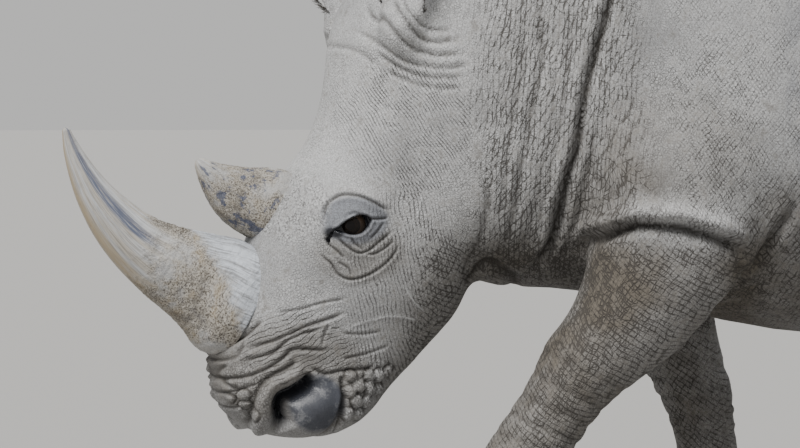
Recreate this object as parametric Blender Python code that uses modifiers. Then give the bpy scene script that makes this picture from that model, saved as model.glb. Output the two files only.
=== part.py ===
"""White rhinoceros, life size, walking with its head hanging low.

The animal faces -Y with its left side at +X, +Z is up and the floor is z = 0.
Trunk, legs, head, ears and tail are lofts of rounded-square sections. They are
joined, smoothed and thinned as one body, the head is turned a little to the
left, and the body is then parted with thin cuts. Horns, eyes and toenails are
solids of their own, each in a pocket that leaves a small gap.
"""

import math

import bmesh
import bpy
import numpy as np
from mathutils import Vector

# ---------------------------------------------------------------- sizes, metres
GAP = 0.0004                     # clearance left by a cut
POCKET_GAP = 0.0005              # clearance round a piece that sits in a pocket
VOXEL = 0.018                    # grid that joins the lofts into one body
BODY_SHARE = 0.039               # share of the joined body's faces that is kept
BODY_THINNING = 0.06             # how much harder the body is thinned than the head
EASE_ROUNDS = 6                  # smoothing of the joins
RING_POINTS = 44

# Trunk and neck: y, top, bottom, level of the widest point, half width
TRUNK = (
    (1.540, 1.26, 1.18, 1.22, 0.03),
    (1.525, 1.36, 1.04, 1.21, 0.14),
    (1.450, 1.46, 0.91, 1.18, 0.25),
    (1.330, 1.55, 0.81, 1.14, 0.34),
    (1.150, 1.635, 0.71, 1.10, 0.41),
    (0.950, 1.665, 0.64, 1.06, 0.45),
    (0.700, 1.645, 0.58, 1.00, 0.475),
    (0.450, 1.61, 0.54, 0.96, 0.498),
    (0.200, 1.595, 0.525, 0.94, 0.50),
    (0.000, 1.61, 0.528, 0.96, 0.485),
    (-0.200, 1.665, 0.54, 1.00, 0.455),
    (-0.350, 1.73, 0.56, 1.04, 0.43),
    (-0.500, 1.75, 0.59, 1.07, 0.395),
    (-0.620, 1.715, 0.61, 1.07, 0.345),
    (-0.750, 1.62, 0.63, 1.03, 0.290),
    (-0.850, 1.51, 0.645, 0.98, 0.255),
    (-0.950, 1.38, 0.69, 0.95, 0.225),
    (-1.020, 1.26, 0.78, 0.98, 0.180),
    (-1.060, 1.14, 0.92, 1.02, 0.100),
)
TRUNK_POWER = 2.3

# Head: distance from the poll along the head, top of the face, underside,
# level of the widest point, half width, squareness of the section
HEAD_ORIGIN = (0.0, -1.02, 1.14)
HEAD_PITCH = math.radians(71.0)
HEAD = (
    (-0.100, 0.000, -0.100, -0.050, 0.060, 2.1),
    (-0.050, 0.062, -0.150, -0.030, 0.125, 2.2),
    (0.000, 0.076, -0.190, -0.030, 0.150, 2.2),
    (0.060, 0.080, -0.230, -0.040, 0.163, 2.3),
    (0.120, 0.070, -0.260, -0.050, 0.168, 2.3),
    (0.180, 0.058, -0.285, -0.060, 0.170, 2.3),
    (0.240, 0.053, -0.300, -0.060, 0.174, 2.3),
    (0.300, 0.064, -0.310, -0.060, 0.179, 2.3),
    (0.360, 0.092, -0.312, -0.060, 0.181, 2.3),
    (0.420, 0.108, -0.302, -0.060, 0.176, 2.3),
    (0.480, 0.113, -0.297, -0.060, 0.163, 2.4),
    (0.540, 0.114, -0.275, -0.055, 0.150, 2.5),
    (0.600, 0.114, -0.246, -0.050, 0.138, 2.6),
    (0.660, 0.114, -0.213, -0.050, 0.131, 2.8),
    (0.700, 0.113, -0.198, -0.050, 0.131, 3.0),
    (0.735, 0.096, -0.176, -0.050, 0.135, 3.0),
    (0.765, 0.078, -0.142, -0.046, 0.132, 2.8),
    (0.790, 0.050, -0.098, -0.036, 0.118, 2.6),
    (0.806, 0.008, -0.054, -0.025, 0.078, 2.4),
    (0.811, -0.018, -0.032, -0.024, 0.015, 2.2),
)

# The head turns to the animal's left about an upright axis in the neck
TURN_ANGLE = math.radians(9.0)
TURN_AXIS_Y = -0.70
TURN_START = 0.50                # distance ahead of the origin where it begins
TURN_END = 0.95
TURN_RISE = (0.86, 1.02)         # keeps the turn out of the forelegs
TURN_SLOPE = (0.80, 0.60)

# Legs: height, middle along y, half length along y, middle along x, half width
LEG_FRONT_LEFT = (
    (1.150, -0.420, 0.200, 0.190, 0.120),
    (0.950, -0.470, 0.200, 0.245, 0.145),
    (0.800, -0.525, 0.170, 0.280, 0.138),
    (0.700, -0.540, 0.155, 0.290, 0.126),
    (0.630, -0.572, 0.142, 0.290, 0.118),
    (0.585, -0.605, 0.134, 0.288, 0.112),
    (0.535, -0.650, 0.128, 0.285, 0.106),
    (0.490, -0.686, 0.111, 0.282, 0.100),
    (0.437, -0.735, 0.092, 0.280, 0.092),
    (0.390, -0.772, 0.088, 0.277, 0.088),
    (0.350, -0.800, 0.086, 0.275, 0.087),
    (0.280, -0.838, 0.076, 0.272, 0.080),
    (0.200, -0.868, 0.078, 0.270, 0.080),
    (0.130, -0.893, 0.097, 0.270, 0.096),
    (0.070, -0.918, 0.124, 0.270, 0.117),
    (0.030, -0.928, 0.134, 0.270, 0.125),
    (0.000, -0.928, 0.128, 0.270, 0.121),
)
LEG_FRONT_RIGHT = (
    (1.150, -0.380, 0.190, 0.190, 0.120),
    (0.950, -0.420, 0.190, 0.245, 0.145),
    (0.800, -0.450, 0.155, 0.280, 0.134),
    (0.650, -0.460, 0.125, 0.285, 0.116),
    (0.540, -0.425, 0.097, 0.280, 0.100),
    (0.440, -0.381, 0.082, 0.278, 0.088),
    (0.400, -0.365, 0.076, 0.275, 0.085),
    (0.357, -0.356, 0.066, 0.272, 0.078),
    (0.306, -0.346, 0.062, 0.270, 0.073),
    (0.200, -0.336, 0.068, 0.270, 0.076),
    (0.130, -0.346, 0.094, 0.270, 0.095),
    (0.070, -0.364, 0.123, 0.270, 0.117),
    (0.030, -0.372, 0.133, 0.270, 0.125),
    (0.000, -0.372, 0.127, 0.270, 0.121),
)
LEG_HIND = (
    (1.350, 1.120, 0.200, 0.200, 0.120),
    (1.150, 1.130, 0.310, 0.250, 0.170),
    (1.000, 1.130, 0.340, 0.275, 0.180),
    (0.880, 1.110, 0.325, 0.290, 0.175),
    (0.770, 1.080, 0.275, 0.292, 0.160),
    (0.660, 1.070, 0.215, 0.290, 0.138),
    (0.560, 1.090, 0.166, 0.283, 0.118),
    (0.460, 1.122, 0.134, 0.277, 0.102),
    (0.380, 1.140, 0.117, 0.272, 0.094),
    (0.280, 1.142, 0.095, 0.268, 0.084),
    (0.190, 1.136, 0.090, 0.268, 0.083),
    (0.120, 1.122, 0.104, 0.268, 0.097),
    (0.060, 1.106, 0.124, 0.268, 0.113),
    (0.030, 1.100, 0.132, 0.268, 0.119),
    (0.000, 1.100, 0.126, 0.268, 0.115),
)
LEG_POWER = 2.2
HIND_LEFT_STEP = 0.03            # how far each hind foot stands behind LEG_HIND
HIND_RIGHT_STEP = -0.14
HIND_STEP_TOP = 0.95             # the height above which the hip stays put
FOOT_CUT = 0.105                 # height of the cut between leg and foot
LEG_RUN_ON = -0.050              # the lofts run this far under the soles

# Tail: a bent taper down the rump, ending in a flattened tassel
TAIL_ROOT = (1.470, 1.400)       # y, z
TAIL_BEND = (1.600, 1.400)
TAIL_HANG = (1.612, 1.120)
TAIL_END = (1.596, 0.900)
TAIL_RADII = (0.050, 0.036, 0.024, 0.017)
TASSEL_LENGTH = 0.190
TASSEL_LAP = 0.14                # share of the tassel that wraps the tail's end
TASSEL_HALF_WIDTH = 0.034
TASSEL_HALF_DEPTH = 0.020

# Ears: a tube at the root that opens into a cupped blade
EAR_ROOTS = {"left": (0.142, -1.030, 1.075), "right": (-0.142, -1.030, 1.075)}
EAR_AXES = {"left": (0.34, -0.16, 0.92), "right": (-0.52, -0.52, 0.68)}
EAR_OPENINGS = {"left": (0.62, -0.78, 0.0), "right": (-0.50, -0.86, 0.0)}
EAR_STATIONS = (                 # distance, half width, depth, wall
    (0.000, 0.046, 0.046, 0.045),
    (0.060, 0.046, 0.046, 0.043),
    (0.095, 0.047, 0.046, 0.018),
    (0.140, 0.054, 0.044, 0.010),
    (0.190, 0.055, 0.036, 0.009),
    (0.235, 0.044, 0.026, 0.008),
    (0.268, 0.024, 0.014, 0.007),
    (0.285, 0.007, 0.006, 0.005),
)

# Horns in the head's own frame: along the head, out from the face, radius
# along the head, radius across, squareness
HORN_FRONT = (
    (0.595, 0.085, 0.106, 0.094, 2.5),
    (0.593, 0.118, 0.106, 0.095, 2.5),
    (0.580, 0.155, 0.096, 0.082, 2.3),
    (0.574, 0.193, 0.084, 0.072, 2.1),
    (0.567, 0.247, 0.071, 0.062, 2.0),
    (0.547, 0.320, 0.054, 0.050, 2.0),
    (0.521, 0.370, 0.044, 0.041, 2.0),
    (0.493, 0.411, 0.034, 0.033, 2.0),
    (0.459, 0.449, 0.0235, 0.023, 2.0),
    (0.427, 0.478, 0.0145, 0.014, 2.0),
    (0.397, 0.500, 0.006, 0.006, 2.0),
)
HORN_REAR = (
    (0.408, 0.060, 0.068, 0.062, 2.4),
    (0.409, 0.100, 0.068, 0.062, 2.4),
    (0.411, 0.127, 0.064, 0.054, 2.2),
    (0.409, 0.160, 0.055, 0.045, 2.1),
    (0.400, 0.195, 0.040, 0.035, 2.0),
    (0.388, 0.226, 0.026, 0.024, 2.0),
    (0.374, 0.250, 0.012, 0.012, 2.0),
)
HORN_SIDES = 16

# Eyes, nostrils and the line of the lips, in the head's own frame
EYE_PLACE = (0.400, -0.020)      # along the head, out from its middle line
EYE_DEPTH = 0.154                # globe's middle, out from the middle plane
EYE_RADIUS = 0.024
NOSTRIL_PLACE = (0.742, -0.012)
NOSTRIL_RADII = (0.026, 0.020, 0.034)
NOSTRIL_DEPTH = 0.132

# Toenails: three to a foot, on the front half of the sole's rim
NAIL_TURNS = (-0.95, 0.0, 0.95)  # radians round from straight ahead
NAIL_HALF_WIDTH = (0.034, 0.046, 0.034)
NAIL_HEIGHT = 0.066
NAIL_THICKNESS = 0.011
NAIL_SUNK = 0.003                # how far a plate's middle lies inside the rim
NAIL_CURVE = 0.009               # how far its ends bend back round the foot

TONES = {
    "skin": ((0.36, 0.32, 0.275), 0.85),
    "skin_dark": ((0.25, 0.215, 0.18), 0.88),
    "horn": ((0.40, 0.32, 0.23), 0.6),
    "nail": ((0.20, 0.17, 0.14), 0.5),
    "eye": ((0.02, 0.013, 0.010), 0.08),
    "hair": ((0.05, 0.040, 0.033), 0.75),
}


# Cuts: outlines in y and z, ahead of the neck, ahead of the shoulder, round a leg
HEAD_OUTLINE = (
    (-0.915, 1.95), (-0.835, 0.60), (-0.93, 0.47), (-1.10, 0.25), (-2.0, 0.25),
    (-2.0, 1.95))
NECK_OUTLINE = ((-0.58, 1.95), (-0.785, 0.55), (-1.20, 0.55), (-1.20, 1.95))
ABOVE_FLOOR = ((-2.0, 0.0), (2.0, 0.0), (2.0, 2.0), (-2.0, 2.0))
FOOT_OUTLINE = ((-2.0, -0.1), (2.0, -0.1), (2.0, FOOT_CUT), (-2.0, FOOT_CUT))
CUT_REACH = (-0.8, 0.8)          # how far the cutters run to either side
LEG_TOP_INNER = 0.54             # height of a leg's cut near the middle plane
LEG_TOP_LIFT = 0.36              # rise of the cut out to the far side
LEG_INNER = 0.050
LEG_OUTER = 0.700
FRONT_SPAN = {1: (-0.715, -0.375), -1: (-0.640, -0.315)}
FRONT_REACH = (-1.200, -0.100)
HIND_SPAN = (0.790, 1.700)
HIND_REACH = (0.550, 1.700)
CLEAR_OF_BELLY = 0.500
CLEAR_OF_CHEST = 0.600

# ------------------------------------------------------------------- small tools
def clear_scene():
    """Remove every object so that the model stands alone."""
    for item in list(bpy.data.objects):
        bpy.data.objects.remove(item, do_unlink=True)


def collection(name):
    """Return a new collection linked to the scene."""
    made = bpy.data.collections.new(name)
    bpy.context.scene.collection.children.link(made)
    return made


def tone(name):
    """Return the Principled material of that name, made on first use."""
    found = bpy.data.materials.get(name)
    if found:
        return found
    colour, roughness = TONES[name]
    made = bpy.data.materials.new(name)
    made.use_nodes = True
    shader = made.node_tree.nodes["Principled BSDF"]
    shader.inputs["Base Color"].default_value = (*colour, 1.0)
    shader.inputs["Roughness"].default_value = roughness
    shader.inputs["Metallic"].default_value = 0.0
    return made


def smoothstep(value, start, end):
    """Ease from 0 to 1 as value goes from start to end."""
    share = min(max((value - start) / (end - start), 0.0), 1.0)
    return share * share * (3.0 - 2.0 * share)


def through(table, count):
    """Spread count rows along the smooth curve through a table's rows.

    A row's position is its length along the table, and each column follows a
    cubic whose slope at a row is the mean of the slopes on its two sides.
    """
    rows = np.array(table, float)
    steps = np.linalg.norm(np.diff(rows[:, :3], axis=0), axis=1)
    at = np.concatenate([[0.0], np.cumsum(steps)])
    slopes = np.diff(rows, axis=0) / steps[:, None]
    tangents = np.vstack([slopes[:1], 0.5 * (slopes[1:] + slopes[:-1]), slopes[-1:]])
    want = np.linspace(0.0, at[-1], count)
    seat = np.clip(np.searchsorted(at, want, side="right") - 1, 0, len(steps) - 1)
    span = steps[seat][:, None]
    t = ((want - at[seat]) / steps[seat])[:, None]
    return (
        (2 * t**3 - 3 * t**2 + 1) * rows[seat]
        + (t**3 - 2 * t**2 + t) * span * tangents[seat]
        + (3 * t**2 - 2 * t**3) * rows[seat + 1]
        + (t**3 - t**2) * span * tangents[seat + 1]
    )


def rounded_square(power, points):
    """Return cosines and sines bent towards a square by the given power."""
    turn = np.linspace(0.0, 2.0 * math.pi, points, endpoint=False)
    c, s = np.cos(turn), np.sin(turn)
    bend = 2.0 / power
    return np.sign(c) * np.abs(c) ** bend, np.sign(s) * np.abs(s) ** bend


def loft(name, rings, target):
    """Join rings of equal length into a closed skin with a fan at each end."""
    mesh = bpy.data.meshes.new(name)
    skin = bmesh.new()
    loops = [[skin.verts.new(point) for point in ring] for ring in rings]
    size = len(loops[0])
    for lower, upper in zip(loops, loops[1:]):
        for k in range(size):
            after = (k + 1) % size
            skin.faces.new((lower[k], lower[after], upper[after], upper[k]))
    for loop in (loops[0], loops[-1]):
        middle = skin.verts.new(sum((v.co for v in loop), Vector()) / size)
        for k in range(size):
            skin.faces.new((loop[k], loop[(k + 1) % size], middle))
    bmesh.ops.recalc_face_normals(skin, faces=skin.faces)
    bmesh.ops.triangulate(skin, faces=skin.faces)
    skin.to_mesh(mesh)
    skin.free()
    made = bpy.data.objects.new(name, mesh)
    target.objects.link(made)
    return made


def use(item, modifier):
    """Apply one modifier to its object."""
    bpy.context.view_layer.objects.active = item
    bpy.ops.object.modifier_apply(modifier=modifier.name)


def combine(item, other, operation):
    """Join, cut or intersect an object with another, then drop the other."""
    step = item.modifiers.new(operation.lower(), "BOOLEAN")
    step.operation = operation
    step.object = other
    step.solver = "EXACT"
    use(item, step)
    bpy.data.objects.remove(other, do_unlink=True)
    shape = bmesh.new()
    shape.from_mesh(item.data)
    bmesh.ops.triangulate(shape, faces=shape.faces)
    shape.to_mesh(item.data)
    shape.free()


def copy_of(item, name, target):
    """Return an independent copy of an object."""
    made = item.copy()
    made.data = item.data.copy()
    made.name = name
    target.objects.link(made)
    return made


# ------------------------------------------------------------------- body lofts
def trunk_rings():
    """Upright sections from the rump to the back of the head."""
    across, rise = rounded_square(TRUNK_POWER, RING_POINTS)
    rings = []
    for y, top, bottom, middle, width in through(TRUNK, 60):
        height = np.where(rise > 0.0, (top - middle) * rise, (middle - bottom) * rise)
        rings.append([(width * a, y, middle + h) for a, h in zip(across, height)])
    return rings


def from_head(along, out, side):
    """Turn a place in the head's own frame into one in the world."""
    x0, y0, z0 = HEAD_ORIGIN
    c, s = math.cos(HEAD_PITCH), math.sin(HEAD_PITCH)
    return (x0 + side, y0 - c * along - s * out, z0 - s * along + c * out)


def head_rings():
    """Sections square to the head's length, from the poll to the lips."""
    rings = []
    for along, top, bottom, middle, width, power in through(HEAD, 56):
        across, rise = rounded_square(power, RING_POINTS)
        height = np.where(rise > 0.0, (top - middle) * rise, (middle - bottom) * rise)
        ring = [from_head(along, middle + h, width * a) for a, h in zip(across, height)]
        rings.append(ring)
    return rings


def leg_rings(table, side, step=0.0):
    """Level sections from the hip or shoulder to just below the floor."""
    across, along = rounded_square(LEG_POWER, 28)
    rows = list(through(table, 34)) + [(LEG_RUN_ON, *table[-1][1:])]
    rings = []
    for z, y, length, x, width in rows:
        back = step * (1.0 - smoothstep(z, 0.0, HIND_STEP_TOP))
        rings.append([
            (side * (x + width * a), y + back + length * b, z)
            for a, b in zip(across, along)
        ])
    return rings


def tail_point(t):
    """Return the place at share t of the tail's cubic curve."""
    p0, p1, p2, p3 = (Vector((0.0, *p)) for p in (
        TAIL_ROOT, TAIL_BEND, TAIL_HANG, TAIL_END))
    s = 1.0 - t
    return s**3 * p0 + 3 * s * s * t * p1 + 3 * s * t * t * p2 + t**3 * p3


def tail_rings():
    """Round sections square to the tail's curve, thinning to the tassel."""
    rings = []
    for k in range(11):
        t = k / 10
        ahead = tail_point(t + 0.01) - tail_point(t - 0.01)
        level = Vector((1.0, 0.0, 0.0))
        out = ahead.normalized().cross(level)
        radius = float(np.interp(t, (0.0, 0.3, 0.7, 1.0), TAIL_RADII))
        rings.append([
            tail_point(t) + radius * (math.cos(a) * level + math.sin(a) * out)
            for a in (2.0 * math.pi * i / 10 for i in range(10))
        ])
    return rings


def tassel_rings():
    """Flattened sections that carry on down from the tail's end."""
    top = tail_point(1.0)
    down = (top - tail_point(0.98)).normalized()
    rings = []
    for k in range(8):
        t = k / 7
        swell = math.sin(math.pi * (0.20 + 0.78 * t)) ** 0.7
        place = top + down * TASSEL_LENGTH * (t - TASSEL_LAP)
        rings.append([
            place + Vector((TASSEL_HALF_WIDTH * swell * math.cos(a),
                            TASSEL_HALF_DEPTH * swell * math.sin(a), 0.0))
            for a in (2.0 * math.pi * i / 10 for i in range(10))
        ])
    return rings


def ear_rings(side):
    """Crescent sections: an outer arc, and an inner arc that hollows the cup."""
    root = Vector(EAR_ROOTS[side])
    axis = Vector(EAR_AXES[side]).normalized()
    opening = Vector(EAR_OPENINGS[side])
    opening = (opening - opening.dot(axis) * axis).normalized()
    across = axis.cross(opening)
    rings = []
    for distance, width, depth, wall in through(EAR_STATIONS, 10):
        centre = root + axis * distance
        ring = []
        for k in range(9):
            turn = math.pi * k / 8
            ring.append(centre + across * (width * math.cos(turn))
                        - opening * (depth * math.sin(turn)))
        hollow = depth - 2.0 * wall
        for k in range(1, 8):
            turn = math.pi * (1.0 - k / 8)
            ring.append(centre + across * (width * 0.97 * math.cos(turn))
                        - opening * (hollow * math.sin(turn)))
        rings.append(ring)
    return rings


def turned(point):
    """Return where a point goes as the head turns to the left."""
    x, y, z = point
    forward = smoothstep(-y, TURN_START, TURN_END)
    clear = smoothstep(-TURN_SLOPE[0] * y + TURN_SLOPE[1] * z, *TURN_RISE)
    angle = TURN_ANGLE * forward * clear
    c, s = math.cos(angle), math.sin(angle)
    ahead = y - TURN_AXIS_Y
    return (x * c - ahead * s, x * s + ahead * c + TURN_AXIS_Y, z)


def turn_head(item):
    """Carry a whole object along with the turn of the head."""
    for vertex in item.data.vertices:
        vertex.co = turned(vertex.co)


def body_weight(y, z):
    """Return how freely faces may go: fully on the body, little on the head."""
    ahead = smoothstep(-TURN_SLOPE[0] * y + TURN_SLOPE[1] * z, 1.0, 1.12)
    return 1.0 - 0.9 * ahead * smoothstep(-y, 0.85, 0.95)


def make_body(target):
    """Join the lofts, smooth the joins, thin the faces and turn the head."""
    body = loft("body", trunk_rings(), target)
    lofts = [
        loft("head_loft", head_rings(), target),
        loft("leg_loft", leg_rings(LEG_FRONT_LEFT, 1), target),
        loft("leg_loft", leg_rings(LEG_FRONT_RIGHT, -1), target),
        loft("leg_loft", leg_rings(LEG_HIND, 1, HIND_LEFT_STEP), target),
        loft("leg_loft", leg_rings(LEG_HIND, -1, HIND_RIGHT_STEP), target),
    ]
    for piece in lofts:
        combine(body, piece, "UNION")
    grid = body.modifiers.new("grid", "REMESH")
    grid.mode = "VOXEL"
    grid.voxel_size = VOXEL
    use(body, grid)
    ease = body.modifiers.new("ease", "SMOOTH")
    ease.factor = 0.5
    ease.iterations = EASE_ROUNDS
    use(body, ease)
    group = body.vertex_groups.new(name="body")
    for vertex in body.data.vertices:
        group.add([vertex.index], body_weight(vertex.co.y, vertex.co.z), "REPLACE")
    thin = body.modifiers.new("thin", "DECIMATE")
    thin.ratio = BODY_SHARE
    thin.vertex_group = "body"
    thin.vertex_group_factor = BODY_THINNING
    use(body, thin)
    turn_head(body)
    return body


# --------------------------------------------------------------- parting the body
def wedge(name, outline, x_near, x_far, lifts, target):
    """Extrude an outline in y and z across x; lifts raise its points at x_far."""
    near = [(x_near, y, z) for y, z in outline]
    far = [(x_far, y, z + lift) for (y, z), lift in zip(outline, lifts)]
    made = loft(name, [near, far], target)
    made.display_type = "WIRE"
    made.hide_render = True
    return made


def keep_largest(item):
    """Drop crumbs that a cut has left loose."""
    shape = bmesh.new()
    shape.from_mesh(item.data)
    left = set(shape.verts)
    islands = []
    while left:
        start = left.pop()
        island = {start}
        edge = [start]
        while edge:
            vertex = edge.pop()
            for link in vertex.link_edges:
                other = link.other_vert(vertex)
                if other in left:
                    left.discard(other)
                    island.add(other)
                    edge.append(other)
        islands.append(island)
    islands.sort(key=len)
    for island in islands[:-1]:
        bmesh.ops.delete(shape, geom=list(island), context="VERTS")
    shape.to_mesh(item.data)
    shape.free()


def part_off(body, name, inside, outside, groups):
    """Split off what lies inside one wedge; the rest keeps out of the other."""
    piece = copy_of(body, name, groups[0])
    combine(piece, inside, "INTERSECT")
    combine(body, outside, "DIFFERENCE")
    keep_largest(piece)
    keep_largest(body)
    return piece


def cut_across(body, name, outline, shift, groups):
    """Part the body by an outline, moved in y and z for the side that stays."""
    level = (0.0,) * len(outline)
    wider = [(y + shift[0], z + shift[1]) for y, z in outline]
    inside = wedge("inside", outline, *CUT_REACH, level, groups[1])
    outside = wedge("outside", wider, *CUT_REACH, level, groups[1])
    return part_off(body, name, inside, outside, groups)


def grown(item, amount, target):
    """Return a copy whose surface stands out by the given amount."""
    made = copy_of(item, "pocket", target)
    normals = [vertex.normal.copy() for vertex in made.data.vertices]
    for vertex, normal in zip(made.data.vertices, normals):
        vertex.co += normal * amount
    return made


def seat(piece, host, groups):
    """Cut a pocket for the piece into its host, a gap larger all round."""
    combine(host, grown(piece, POCKET_GAP, groups[1]), "DIFFERENCE")
    keep_largest(host)


def leg_wedge(name, side, span, reach, margin, groups):
    """A wedge round a leg: wide under the belly, narrow and sloping above."""
    front, back = span[0] - margin, span[1] + margin
    top = LEG_TOP_INNER + margin
    ahead = CLEAR_OF_CHEST if front < 0.0 else CLEAR_OF_BELLY
    brow = max(top, ahead + 0.01)
    outline = (
        (reach[0], -0.1), (reach[1], -0.1), (reach[1], CLEAR_OF_BELLY),
        (back, CLEAR_OF_BELLY), (back, top), (front, brow),
        (front, ahead), (reach[0], ahead))
    lifts = (0.0, 0.0, 0.0, 0.0, LEG_TOP_LIFT, LEG_TOP_LIFT + top - brow, 0.0, 0.0)
    return wedge(name, outline, side * (LEG_INNER - margin), side * LEG_OUTER, lifts,
                 groups[1])


def horn(name, table, groups):
    """Loft a horn along its own curve in the head's frame."""
    rings = []
    rows = through(table, 11)
    for k, (along, out, radius, across, power) in enumerate(rows):
        before, after = rows[max(k - 1, 0)], rows[min(k + 1, len(rows) - 1)]
        lean = math.atan2(before[0] - after[0], after[1] - before[1])
        sides, fronts = rounded_square(power, HORN_SIDES)
        rings.append([
            from_head(along + radius * f * math.cos(lean),
                      out + radius * f * math.sin(lean), across * s)
            for s, f in zip(sides, fronts)
        ])
    made = loft(name, rings, groups[0])
    turn_head(made)
    return made


def ball(name, centre, radii, rounds, groups):
    """Make an icosphere stretched to three radii, carried by the turn."""
    bpy.ops.mesh.primitive_ico_sphere_add(subdivisions=rounds, radius=1.0)
    made = bpy.context.object
    made.name = name
    for link in list(made.users_collection):
        link.objects.unlink(made)
    groups[0].objects.link(made)
    for vertex in made.data.vertices:
        vertex.co = Vector(v + r * c for v, r, c in zip(centre, radii, vertex.co))
    turn_head(made)
    return made


def nail(name, table, side, step, turn, half_width, groups):
    """A curved plate on the foot's rim, thickest at the floor."""
    facing = Vector((math.sin(turn), -math.cos(turn), 0.0))
    beside = Vector((math.cos(turn), math.sin(turn), 0.0))
    rings = []
    for share, narrow, thin in ((0.0, 1.0, 1.0), (0.45, 0.96, 0.9), (1.0, 0.62, 0.45)):
        z = NAIL_HEIGHT * share
        rows = np.array(table, float)[::-1]
        y, length, x, width = (np.interp(z, rows[:, 0], rows[:, i]) for i in (1, 2, 3, 4))
        back = step * (1.0 - smoothstep(z, 0.0, HIND_STEP_TOP))
        reach = (abs(facing.x / width) ** LEG_POWER
                 + abs(facing.y / length) ** LEG_POWER) ** (-1.0 / LEG_POWER)
        rim = Vector((side * x, y + back, z)) + facing * (reach - NAIL_SUNK)
        sides, fronts = rounded_square(3.0, 8)
        rings.append([
            rim + beside * (half_width * narrow * a)
            + facing * (NAIL_THICKNESS * thin * b - NAIL_CURVE * (narrow * a) ** 2)
            for a, b in zip(sides, fronts)
        ])
    return loft(name, rings, groups[0])


def paint(item, name):
    """Give an object its material and soften the shading of its faces."""
    item.data.materials.clear()
    item.data.materials.append(tone(name))
    item.data.shade_smooth()
    item.data.set_sharp_from_angle(angle=math.radians(50.0))


def rhinoceros():
    """Build every node of the animal."""
    clear_scene()
    groups = (collection("rhinoceros"), collection("cutters"))
    body = make_body(groups[0])
    above = wedge("above", ABOVE_FLOOR, *CUT_REACH, (0.0,) * 4, groups[1])
    combine(body, above, "INTERSECT")
    head = cut_across(body, "head", HEAD_OUTLINE, (GAP, 0.0), groups)
    neck = cut_across(body, "neck", NECK_OUTLINE, (GAP, 0.0), groups)

    feet = (
        ("front_left", LEG_FRONT_LEFT, 1, 0.0, FRONT_SPAN[1], FRONT_REACH),
        ("front_right", LEG_FRONT_RIGHT, -1, 0.0, FRONT_SPAN[-1], FRONT_REACH),
        ("hind_left", LEG_HIND, 1, HIND_LEFT_STEP, HIND_SPAN, HIND_REACH),
        ("hind_right", LEG_HIND, -1, HIND_RIGHT_STEP, HIND_SPAN, HIND_REACH),
    )
    for name, table, side, step, span, reach in feet:
        inside = leg_wedge("inside", side, span, reach, 0.0, groups)
        outside = leg_wedge("outside", side, span, reach, GAP, groups)
        leg = part_off(body, "leg_" + name, inside, outside, groups)
        foot = cut_across(leg, "foot_" + name, FOOT_OUTLINE, (0.0, GAP), groups)
        for k, (turn, half) in enumerate(zip(NAIL_TURNS, NAIL_HALF_WIDTH)):
            plate = nail(f"nail_{name}_{k + 1}", table, side, step, turn, half, groups)
            seat(plate, foot, groups)
            paint(plate, "nail")
        paint(leg, "skin_dark")
        paint(foot, "skin_dark")
    body.name = "trunk"

    tail = loft("tail", tail_rings(), groups[0])
    seat(tail, body, groups)
    tassel = loft("tail_tassel", tassel_rings(), groups[0])
    seat(tail, tassel, groups)
    for side, way in (("left", 1), ("right", -1)):
        ear = loft("ear_" + side, ear_rings(side), groups[0])
        turn_head(ear)
        seat(ear, head, groups)
        seat(ear, neck, groups)
        paint(ear, "skin")
        place = from_head(*EYE_PLACE, way * EYE_DEPTH)
        eye = ball("eye_" + side, place, (EYE_RADIUS,) * 3, 2, groups)
        seat(eye, head, groups)
        paint(eye, "eye")
        hole = from_head(*NOSTRIL_PLACE, way * NOSTRIL_DEPTH)
        pit = ball("nostril", hole, NOSTRIL_RADII, 2, groups)
        combine(head, pit, "DIFFERENCE")
    for name, table in (("horn_front", HORN_FRONT), ("horn_rear", HORN_REAR)):
        made = horn(name, table, groups)
        seat(made, head, groups)
        paint(made, "horn")
    paint(tassel, "hair")
    for item in (head, neck, body, tail):
        paint(item, "skin")


rhinoceros()
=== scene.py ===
"""Life-size white rhinoceros, walking with its head low, in soft studio light.

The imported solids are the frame. One skin stands for every node of flesh; horns,
eyes, toenails, lashes, ear fringes and the tail tassel are pieces of their own.
Lengths are metres; the animal faces -Y, its left side is +X and +Z is up.
"""
import math

import bpy
import numpy as np
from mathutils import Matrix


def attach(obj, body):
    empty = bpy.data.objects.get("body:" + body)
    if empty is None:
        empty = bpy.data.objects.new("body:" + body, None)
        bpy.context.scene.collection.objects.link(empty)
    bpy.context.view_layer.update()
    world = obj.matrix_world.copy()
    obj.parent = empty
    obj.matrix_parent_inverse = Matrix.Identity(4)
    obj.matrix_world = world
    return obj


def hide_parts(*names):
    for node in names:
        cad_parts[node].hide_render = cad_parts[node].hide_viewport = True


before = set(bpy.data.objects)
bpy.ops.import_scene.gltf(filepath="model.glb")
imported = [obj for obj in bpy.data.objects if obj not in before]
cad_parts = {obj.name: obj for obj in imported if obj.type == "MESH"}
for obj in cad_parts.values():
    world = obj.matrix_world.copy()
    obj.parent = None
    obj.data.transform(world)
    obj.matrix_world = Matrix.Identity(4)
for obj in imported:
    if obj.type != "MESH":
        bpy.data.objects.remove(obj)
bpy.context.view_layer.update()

# ------------------------------------------------------------ camera, floor, light
# A long lens from the animal's left, a little ahead of square and a little above its
# eyes. A pale matt floor runs on to the horizon, and two wide soft lamps light it.
AIM = np.array([0.0, -0.986, 0.7456])
VIEW_TURN, VIEW_RISE = math.radians(82.0), math.radians(2.3)
VIEW_DISTANCE = 7.0
LENS_MM, SENSOR_MM = 170.28, 36.0
LENS_REACH = 200.0
back = np.array([
    math.sin(VIEW_TURN) * math.cos(VIEW_RISE),
    -math.cos(VIEW_TURN) * math.cos(VIEW_RISE),
    math.sin(VIEW_RISE),
])
lens = bpy.data.cameras.new("camera")
lens.lens = LENS_MM
lens.sensor_width = SENSOR_MM
lens.clip_end = LENS_REACH
camera = bpy.data.objects.new("camera", lens)
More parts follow.
